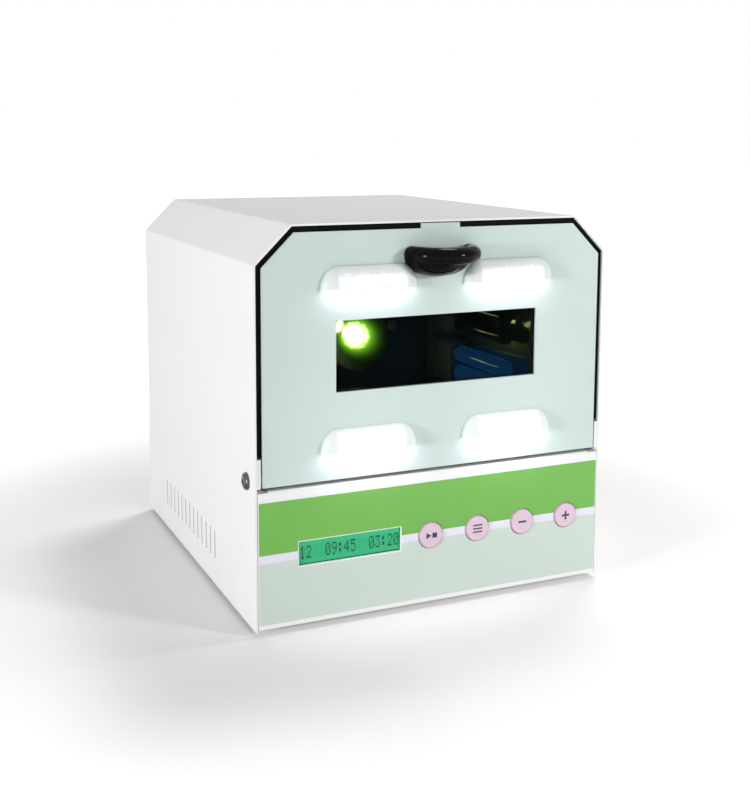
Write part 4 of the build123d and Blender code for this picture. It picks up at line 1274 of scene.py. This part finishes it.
@dataclass
class Fasteners:
    """Cross-recess screws and the hinge fixings with their cup washers.

    An outline's pairs are shares of a head's radius and height.
    """

    material: Finish
    frame: dict[str, Any]
    recess: float = 0.62
    blade: float = 0.19
    taper: float = 0.55
    recess_depth: float = 0.6
    head_height: float = 0.76
    shank: float = 0.5
    shank_length: float = 1.2 * MM
    pan: Shares = ((0.97, 0.0), (1.0, 0.12), (0.97, 0.45), (0.86, 0.74), (0.66, 0.93), (0.40, 0.995))
    cup: Shares = ((0.985, 0.35), (0.93, 0.8), (0.86, 1.0), (0.79, 0.96), (0.42, 0.35))
    cup_bore: float = 0.42
    cup_gap: float = 0.02 * MM
    cap: float = 0.74
    cap_foot: tuple[float, float] = (0.38, 0.30)
    cap_wall: Shares = ((1.0, 0.94), (0.985, 1.06))
    cap_dome: Shares = ((0.82, 0.55), (0.5, 0.88), (0.2, 1.0))

    def cross(self, radius: float, top: float, depth: float) -> Piece:
        """Make the cutter of a cross recess.

        Args:
            radius: Radius of the screw head.
            top: Height of the head's crown.
            depth: Depth of the recess.

        Returns:
            The cutter, a tapered cross.
        """
        reach = 2 * radius * self.recess
        wide = 2 * radius * self.blade
        arms = []
        for number, size in enumerate(((reach, wide, 2 * depth), (wide, reach, 2 * depth))):
            arm = Bench.box(f"cross_{number}", size, (0, 0, top))
            Bench.choose(arm, "faces", lambda face: face.normal.z < -0.5)
            bpy.ops.transform.resize(value=(self.taper, self.taper, 1),
                                     center_override=(0, 0, top - depth))
            Bench.clear()
            arms.append(arm)
        return Bench.combine(arms[0], arms[1], "UNION")

    def screw(self, name: str, radius: float, height: float) -> Piece:
        """Make a pan head with a cross recess and a short shank behind it.

        Args:
            name: Name of the piece.
            radius: Radius of the head.
            height: Height of the head.

        Returns:
            The screw with the head's seat at the origin and its crown along +Z.
        """
        shank = radius * self.shank
        outline = [(shank, -self.shank_length), (shank, 0.0), *scaled(self.pan, radius, height)]
        head = Bench.lathe(name, outline, 36)
        return Bench.cut(head, self.cross(radius, height, height * self.recess_depth))

    def group(self, node: str, facing: Facing, axis: int, outward: int) -> None:
        """Stand a dressed screw in for every screw of a frame node.

        Args:
            node: The frame node.
            facing: Where the heads point.
            axis: The axis of the screws: 0, 1 or 2 for X, Y or Z.
            outward: Index of the box corner on the heads' side: 0 low or 1 high.
        """
        boxes = node_islands(self.frame["nodes"][node])
        low, high = boxes[0]
        across = 1 if axis == 0 else 0
        radius = (high[across] - low[across]) / 2
        height = self.head_height * radius
        blank = self.screw(f"{node}_blank", radius, height)
        for number, box in enumerate(boxes):
            at = [(a + b) / 2 for a, b in zip(*box)]
            at[axis] = box[outward][axis] + (-height if outward else height)
            screw = Bench.copy(blank, f"{node}_{number + 1}")
            Bench.place(screw, tuple(at), facing, spin=0.7 + 1.9 * number)
            dress(screw, self.material, Body.HOUSING)
        bpy.data.objects.remove(blank)
        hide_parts(node)

    def hinge_fixings(self) -> None:
        """Turn both cup washers and the raised heads that sit in them."""
        heads = node_islands(self.frame["nodes"]["hinge_fixing_screws"])
        washers = node_islands(self.frame["nodes"]["hinge_cup_washers"])
        sides = (("left", Facing.LEFT, 0), ("right", Facing.RIGHT, 1))
        caps, cups = [], []
        for head, washer, (side, facing, outer) in zip(heads, washers, sides):
            seat = washer[1 - outer][0]
            centre = (seat, (washer[0][1] + washer[1][1]) / 2, (washer[0][2] + washer[1][2]) / 2)
            radius = (washer[1][1] - washer[0][1]) / 2
            height = abs(washer[outer][0] - seat)
            crown = abs(head[outer][0] - seat)
            bore = radius * self.cup_bore
            cup = Bench.lathe(f"cup_washer_{side}", [
                (bore, self.cup_gap), (radius, self.cup_gap), *scaled(self.cup, radius, height)],
                48, closed=True)
            bulge = radius * self.cap
            dome = [(x, height + z) for x, z in scaled(self.cap_dome, bulge, crown - height)]
            cap = Bench.lathe(f"hinge_screw_{side}", [
                *scaled((self.cap_foot,), radius, height), *scaled(self.cap_wall, bulge, height),
                *dome], 40)
            Bench.cut(cap, self.cross(bulge, crown, height * 0.75))
            cups.append(Bench.place(cup, centre, facing))
            caps.append(Bench.place(cap, centre, facing, spin=0.5 + 0.9 * outer))
        dark = Metal("hinge_fixing_plate", (0.115, 0.14, 0.135), 0.2).material()
        for piece in caps + cups:
            dress(piece, dark, Body.HOUSING)
        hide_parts("hinge_fixing_screws")
        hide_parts("hinge_cup_washers")

    def build(self) -> None:
        """Make every visible screw of the casing."""
        self.group("cover_screws", Facing.DOWN, 2, 0)
        self.group("rear_screws", Facing.REAR, 1, 1)
        self.group("fan_screws", Facing.REAR, 1, 1)
        self.hinge_fixings()


@dataclass
class ChamberFixings:
    """Clamps that hold the lamp rims, and the screws of the chamber's back wall."""

    fasteners: Fasteners
    nylon: Finish
    collar_radius: float = 2.3 * MM
    washer: float = 0.8 * MM
    outer_washer_radius: float = 4.0 * MM
    middle_washer_radius: float = 6.8 * MM
    rim_gap: float = 1.9 * MM
    sunk: float = 0.1 * MM
    lean: float = math.radians(17)
    screw_radius: float = 2.6 * MM
    screw_height: float = 1.9 * MM
    wall_screw: tuple[float, float] = (66 * MM, 12 * MM)

    def clamp(self, name: str, radius: float, reach: float, at: Point, spin: float = 0.0) -> None:
        """Make a collar with a washer and a screw on top of it.

        Args:
            name: Name of the piece.
            radius: Radius of the washer.
            reach: Height of the collar.
            at: Where the collar stands on the back wall.
            spin: Turn of the screw's recess, in radians.
        """
        top = reach + self.washer
        head = self.screw_radius
        crown = top + head * 0.72
        outline = [(self.collar_radius, 0.0), (self.collar_radius, reach), (radius * 0.96, reach),
                   (radius, reach + self.washer / 2), (radius * 0.96, top), (head, top),
                   (head, top + head * 0.3), (head * 0.8, top + head * 0.6), (head * 0.4, crown)]
        piece = Bench.lathe(name, outline, 36)
        Bench.cut(piece, self.fasteners.cross(head, crown, head * 0.4))
        Bench.place(piece, at, Facing.FRONT, spin=spin)
        dress(piece, self.nylon, Body.HOUSING)

    def build(self) -> None:
        """Make the clamps and the wall screws."""
        wall = NodeBox("chamber_back").low
        lamp = NodeBox("halogen_reflector_right")
        reach = wall[1] - lamp.low[1] + self.sunk
        away = lamp.half_width + self.rim_gap + self.collar_radius / 2
        out_x = lamp.middle[0] + away * math.cos(self.lean)
        out_z = lamp.middle[2] + away * math.sin(self.lean)
        for side, sign in (("left", -1), ("right", 1)):
            self.clamp(f"lamp_clamp_{side}", self.outer_washer_radius, reach,
                       (sign * out_x, wall[1], out_z), 0.4 * sign)
            screw = self.fasteners.screw(f"wall_screw_{side}", self.screw_radius,
                                         self.screw_height)
            place = (sign * self.wall_screw[0], wall[1], wall[2] + self.wall_screw[1])
            Bench.place(screw, place, Facing.FRONT, spin=0.9 + 0.5 * sign)
            dress(screw, self.fasteners.material, Body.HOUSING)
        self.clamp("lamp_clamp_middle", self.middle_washer_radius, reach,
                   (0.0, wall[1], lamp.middle[2]))


@dataclass
class PullBelly:
    """Belly between the pull's bowl and its rolled rim, fullest at its left."""

    material: Finish
    rim_radius: float = 5.0 * MM
    shell: tuple[float, float] = (23.6 * MM, 13.4 * MM)
    lining: tuple[float, float] = (15.0 * MM, 11.3 * MM)
    slimmest: tuple[float, float] = (0.68, 0.90)
    fullness: float = 2.5
    levels: int = 18
    sides: int = 96
    turns: tuple[float, float] = (math.radians(40), math.radians(150))
    pinhole: float = 0.2 * MM
    shell_share: float = 0.85

    def outline(self) -> list[tuple[float, float]]:
        """Follow the shell from the rim down to the axis, and the lining back up."""
        steps = [math.pi / 2 * step / self.levels for step in range(self.levels + 1)]
        power = 2 / self.fullness
        rings = []
        for (radius, depth), angles in ((self.shell, steps), (self.lining, steps[::-1])):
            for angle in angles:
                wide = radius * abs(math.cos(angle)) ** power
                rings.append((max(wide, self.pinhole), -depth * math.sin(angle) ** power))
        return rings

    def on_shell(self, vertex: bmesh.types.BMVert, angle: float) -> bool:
        """Tell whether a vertex is on the shell, at an angle from +X towards the front."""
        across, along, down = vertex.co
        turn = math.atan2(max(0.0, -along), across)
        share = (math.hypot(across, along) / self.shell[0]) ** self.fullness
        share += (abs(down) / self.shell[1]) ** self.fullness
        return abs(turn - angle) < math.pi / self.sides and share > self.shell_share

    def build(self) -> None:
        """Turn the belly, halve it at the door and slim its right side down to the bowl."""
        belly = Bench.lathe("pull_apron", self.outline(), self.sides, closed=True)
        Bench.edit(belly)
        bpy.ops.mesh.bisect(plane_co=(0, 0, 0), plane_no=(0, 1, 0), clear_outer=True)
        bpy.ops.mesh.select_all(action="DESELECT")
        bpy.ops.mesh.select_mode(type="VERT")
        bpy.ops.mesh.select_non_manifold()
        bpy.ops.mesh.fill()
        start, end = self.turns
        for step in range(self.sides // 2 + 1):
            angle = 2 * math.pi * step / self.sides
            part = min(1.0, max(0.0, (angle - start) / (end - start)))
            share = part * part * (3 - 2 * part)
            wide, deep = (least + (1 - least) * share for least in self.slimmest)
            Bench.choose(belly, "verts", lambda vertex: self.on_shell(vertex, angle))
            bpy.ops.transform.resize(value=(wide, wide, deep), center_override=(0, 0, 0))
        Bench.close(belly)
        pull = NodeBox("door_pull")
        x, y, _ = pull.rear
        Bench.place(belly, (x, y, pull.high[2] - self.rim_radius))
        dress(belly, self.material, Body.DOOR)


@dataclass
class Lamps:
    """Faceted halogen reflectors, their capsules, and the tubes' collars."""

    steel: Finish
    facets: int = 28
    rows: int = 7
    wall: float = 1.3 * MM
    lip: float = 1.6 * MM
    neck_radius: float = 8.4 * MM
    bowl_depth: float = 24 * MM
    stem_radii: tuple[float, float] = (5.0 * MM, 7.0 * MM)
    stem_reach: tuple[float, float] = (21.5 * MM, 42 * MM)
    capsule_glow: float = 26.0
    collar_skin: tuple[float, float] = (0.05 * MM, 0.35 * MM)
    collar_length: float = 4.0 * MM
    collar_edge: float = 0.2 * MM

    def bowl_outline(self, rim: float) -> list[tuple[float, float]]:
        """Work out the outline of a bowl from its rim inwards and back along the outside.

        Args:
            rim: Radius of the rim.

        Returns:
            Radius and depth of each ring, a closed loop.
        """
        inner = []
        for row in range(self.rows + 1):
            radius = rim - self.wall + (self.neck_radius - rim) * row / self.rows
            inner.append((radius, self.bowl_depth * (1 - (radius / rim) ** 2)))
        outer = [(radius + self.wall, level + 0.6 * self.wall) for radius, level in reversed(inner)]
        outer[-1] = (rim, self.lip)
        return inner + outer + [(rim, 0.0)]

    def reflector(self, side: str) -> None:
        """Make the faceted bowl of one side with its stem, in place of the plain one."""
        node = f"halogen_reflector_{side}"
        box = NodeBox(node)
        outline = self.bowl_outline(box.half_width)
        bowl = Bench.lathe(f"reflector_bowl_{side}", outline, self.facets, closed=True, smooth=4.0)
        stem = Bench.sleeve(f"reflector_neck_{side}", self.stem_radii, self.stem_reach)
        lamp = Bench.join(f"reflector_{side}", [bowl, stem])
        Bench.place(lamp, box.front, Facing.REAR)
        # The bowl's finish carries a painted glow of the lamp.
        dress(lamp, LampBowl(f"bowl_{side}", box.front).material(), Body.HOUSING)
        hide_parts(node)

    def capsule(self, side: str) -> None:
        """Make the burning capsule of one side, with a round tip and a pinched base."""
        node = f"halogen_capsule_{side}"
        box = NodeBox(node)
        radius, length = box.half_width, box.depth
        outline = [(radius * 0.12, 0.0), (radius * 0.55, 0.5 * MM), (radius * 0.88, 1.7 * MM),
                   (radius, 3.6 * MM), (radius, length * 0.7), (radius * 0.8, length * 0.8),
                   (radius * 0.8, length)]
        bulb = Bench.lathe(f"capsule_{side}", outline, 28)
        Bench.place(bulb, box.front, Facing.REAR)
        quartz = Glass(f"capsule_{side}_quartz", (0.95, 0.97, 0.85), 0.85, 0.05,
                       (1.0, 1.0, 0.62), self.capsule_glow)
        dress(bulb, quartz.material(), Body.HOUSING)
        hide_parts(node)

    def tube_collars(self, level: str, side: str) -> None:
        """Put the metal collars on the two legs of one tube, at its base.

        Args:
            level: "lower" or "upper".
            side: "left" or "right".
        """
        tube = NodeBox(f"uv_tube_{level}_{side}")
        radius = tube.half_width
        inner, outer = (radius + skin for skin in self.collar_skin)
        outline = [(inner, 0.0), (outer, self.collar_edge),
                   (outer, self.collar_length - self.collar_edge), (inner, self.collar_length)]
        set_back = tube.high[1] - self.collar_length - self.collar_edge
        collars = []
        for number, z in enumerate((tube.low[2] + radius, tube.high[2] - radius)):
            collar = Bench.lathe(f"collar_{level}_{side}_{number}", outline, 32, closed=True)
            collars.append(Bench.place(collar, (tube.middle[0], set_back, z), Facing.REAR))
        joined = Bench.join(f"tube_collars_{level}_{side}", collars)
        dress(joined, self.steel, Body.HOUSING)

    def build(self) -> None:
        """Make both lamps, which both burn, and the collars of all four tubes."""
        for side in ("left", "right"):
            self.reflector(side)
            self.capsule(side)
        for level in ("lower", "upper"):
            for side in ("left", "right"):
                self.tube_collars(level, side)


@dataclass
class RearParts:
    """Contact blades of the mains inlet, and the marks on the switch key."""

    face_inset: float = 1.2 * MM
    blade_skin: float = 0.06 * MM
    blade: Point = (2.0 * MM, 9.5 * MM, 4.0 * MM)
    blade_edge: float = 0.35 * MM
    spread: float = 7.0 * MM
    rise: float = 2.0 * MM
    socket_depth: float = 16.0 * MM
    socket_drop: float = 14.0 * MM
    mark_height: float = 0.06 * MM
    mark_lift: float = 0.02 * MM
    bar: tuple[float, float] = (0.7 * MM, 3.2 * MM)
    ring: tuple[float, float] = (1.15 * MM, 1.65 * MM)
    key_tip: float = math.radians(8.0)
    key_pivot: tuple[float, float] = (1.0 * MM, 17.0 * MM)
    key_edge: float = 1.4 * MM
    key_middle: float = 1.1 * MM
    key_half: float = 6.0 * MM

    def build(self) -> None:
        """Make the blades and the marks."""
        x, rear, z = NodeBox("power_inlet").rear
        face = rear - self.face_inset
        nickel = Metal("blade_nickel", (0.78, 0.74, 0.62), 0.2).material()
        size = tuple(value + 2 * self.blade_skin for value in self.blade)
        depth = face - self.socket_depth + self.blade[1] / 2
        places = ((-self.spread, -self.rise), (0.0, self.rise), (self.spread, -self.rise))
        for number, (across, up) in enumerate(places, 1):
            centre = (x + across, depth, z - self.socket_drop + up)
            blade = Bench.box(f"inlet_blade_{number}", size, centre, self.blade_edge, 3)
            dress(blade, nickel, Body.HOUSING)
        pivot = Vector((x, face - self.key_pivot[0], z + self.key_pivot[1]))
        white = Moulding("switch_ink", (0.82, 0.82, 0.80), 0.5).material()
        bar = Bench.box("switch_bar", (*self.bar, self.mark_height))
        ring = Bench.sleeve("switch_ring", self.ring, (0.0, self.mark_height))
        for piece, half in ((bar, 1), (ring, -1)):
            self.on_key(piece, pivot, half)
            dress(piece, white, Body.ROCKER)

    def on_key(self, piece: Piece, pivot: Vector, half: int) -> None:
        """Lay a mark on one half of the switch key's shallow V face.

        Args:
            piece: The mark, flat in the XY plane.
            pivot: Point that the key tips about.
            half: 1 for the upper half and -1 for the lower one.
        """
        slope = math.atan2(self.key_edge - self.key_middle, self.key_half)
        out = (self.key_edge + self.key_middle) / 2 + self.mark_lift
        local = Matrix.Translation(Vector((0.0, out, half * self.key_half / 2)))
        turn = Matrix.Rotation(-self.key_tip, 4, "X")
        lean = Matrix.Rotation(half * slope, 4, "X")
        stand = Euler(Facing.REAR.value).to_matrix().to_4x4()
        piece.matrix_world = Matrix.Translation(pivot) @ turn @ local @ lean @ stand
        Bench.pick(piece)
        bpy.ops.object.transform_apply(location=True, rotation=True, scale=True)


# ---------------------------------------------------------------- studio
@dataclass(frozen=True)
class StudioLamp:
    """Square lamp that points at the cabinet's middle, its power in watts."""

    name: str
    place: Point
    width: float
    power: float


@dataclass
class Studio:
    """Pale floor, soft light and the camera at the picture's angle."""

    camera_place: Point = (-0.31643, -0.72300, 0.28678)
    yaw: float = 24.265
    pitch: float = -7.272
    roll: float = -0.254
    focal_pixels: float = 1178.59
    shift_pixels: float = 120.0
    sensor: float = 36.0
    world_level: float = 0.30
    floor_size: float = 14.0
    floor_white: Colour = (0.965, 0.955, 0.95)
    near_lift: float = 0.05
    shadow_reach: tuple[float, float] = (0.42, 0.46)
    target: Point = (0.0, 0.0, 0.12)
    lamps: tuple[StudioLamp, ...] = (
        StudioLamp("key_light", (-1.60, -0.62, 0.30), 0.22, 13.8),
        StudioLamp("fill_light", (0.62, -0.85, 0.40), 0.14, 4.2),
        StudioLamp("back_light", (0.60, 0.55, 1.90), 0.50, 14.8))
    hood_power: tuple[float, float] = (0.019, 0.013)
    hood_strip: tuple[float, float] = (52 * MM, 4.2 * MM)
    hood_clear: float = 3.4 * MM
    hood_drop: float = 1.0 * MM
    hood_light: Colour = (0.92, 0.81, 1.0)

    def camera(self) -> None:
        """Set up the camera from the fitted angles."""
        data = bpy.data.cameras.new("camera")
        camera = bpy.data.objects.new("camera", data)
        bpy.context.scene.collection.objects.link(camera)
        data.sensor_fit = "VERTICAL"
        data.sensor_height = self.sensor
        data.lens = self.focal_pixels / IMAGE_HEIGHT * self.sensor
        data.shift_y = -self.shift_pixels / IMAGE_HEIGHT
        data.clip_start = 0.01
        turn = (Matrix.Rotation(-math.radians(self.yaw), 4, "Z")
                @ Matrix.Rotation(math.radians(90 + self.pitch), 4, "X")
                @ Matrix.Rotation(math.radians(-self.roll), 4, "Z"))
        camera.matrix_world = Matrix.Translation(Vector(self.camera_place)) @ turn
        bpy.context.scene.camera = camera

    def world(self) -> None:
        """White surroundings, at a plain level for the light that falls on the object."""
        world = bpy.data.worlds.new("studio")
        bpy.context.scene.world = world
        world.use_nodes = True
        sky = Nodes(world.node_tree)
        background = sky.tree.nodes["Background"].inputs
        sky.feed(background["Color"], (1.0, 1.0, 1.0))
        sky.feed(background["Strength"], self.world_level + (1.0 - self.world_level) * sky.seen())

    def floor(self) -> None:
        """Large white floor that still takes the object's shadow."""
        Bench.clear()
        bpy.ops.mesh.primitive_plane_add(size=self.floor_size, location=(0, 0, 0))
        floor = bpy.context.active_object
        floor.name = "studio_floor"
        graph = Graph("floor_white")
        x, y, _ = graph.axes()
        far = ((x * x + y * y) ** 0.5).over(*self.shadow_reach)
        lift = graph.seen() * (self.near_lift + (1.0 - self.near_lift) * far)
        graph.surface(Base_Color=self.floor_white, Roughness=0.9, Specular_IOR_Level=0.0,
                      Emission_Color=(1.0, 1.0, 1.0), Emission_Strength=lift)
        floor.data.materials.append(graph.material)

    def lamp(self, name: str, place: Point, target: Point, size: tuple[float, float],
             power: float, colour: Colour = (1.0, 1.0, 1.0)) -> Piece:
        """Add one rectangular lamp.

        Args:
            name: Name of the lamp.
            place: Where it hangs.
            target: Where it points.
            size: Its width and height.
            power: Its power in watts.
            colour: Colour of its light.

        Returns:
            The lamp.
        """
        data = bpy.data.lights.new(name, "AREA")
        data.shape = "RECTANGLE"
        data.size, data.size_y = size
        data.energy = power
        data.color = colour
        lamp = bpy.data.objects.new(name, data)
        bpy.context.scene.collection.objects.link(lamp)
        aim = (Vector(target) - Vector(place)).to_track_quat("-Z", "Y")
        lamp.matrix_world = Matrix.Translation(Vector(place)) @ aim.to_matrix().to_4x4()
        return lamp

    def hood_glow(self) -> None:
        """Light the door below every hood with a strip that rides on the door."""
        under = NodeBox("outer_cover").low[2]
        y = NodeBox("front_fascia").low[1] - self.hood_clear
        for side, x in (("left", -HOODS.offset), ("right", HOODS.offset)):
            for number, (lip, power) in enumerate(zip(HOODS.lips, self.hood_power)):
                z = under + lip + self.hood_drop
                lamp = self.lamp(f"hood_glow_{side}_{number}", (x, y, z), (x, y, z - 1.0),
                                 self.hood_strip, power, self.hood_light)
                lamp.visible_camera = False
                lamp.visible_glossy = False
                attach(lamp, Body.DOOR.value)

    def build(self) -> None:
        """Set the studio up."""
        bpy.context.scene.view_settings.view_transform = "Standard"
        self.camera()
        self.world()
        self.floor()
        for lamp in self.lamps:
            self.lamp(lamp.name, lamp.place, self.target, (lamp.width, lamp.width), lamp.power)
        self.hood_glow()


def main() -> None:
    """Build the dressed cabinet."""
    logging.basicConfig(level=logging.INFO, format="%(name)s: %(message)s")
    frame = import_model()
    Bench.clear()
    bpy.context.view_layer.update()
    paint = Paintwork(frame)
    paint.mix()
    paint.apply()
    finishes = paint.finishes
    fasteners = Fasteners(finishes["screw_steel"], frame)
    for assembly in (Keys(paint), Display(), fasteners,
                     ChamberFixings(fasteners, finishes["lamp_plastic"]),
                     PullBelly(finishes["pull_plastic"]), Lamps(finishes["screw_steel"]),
                     RearParts(), Studio()):
        assembly.build()


if __name__ == "__main__":
    main()
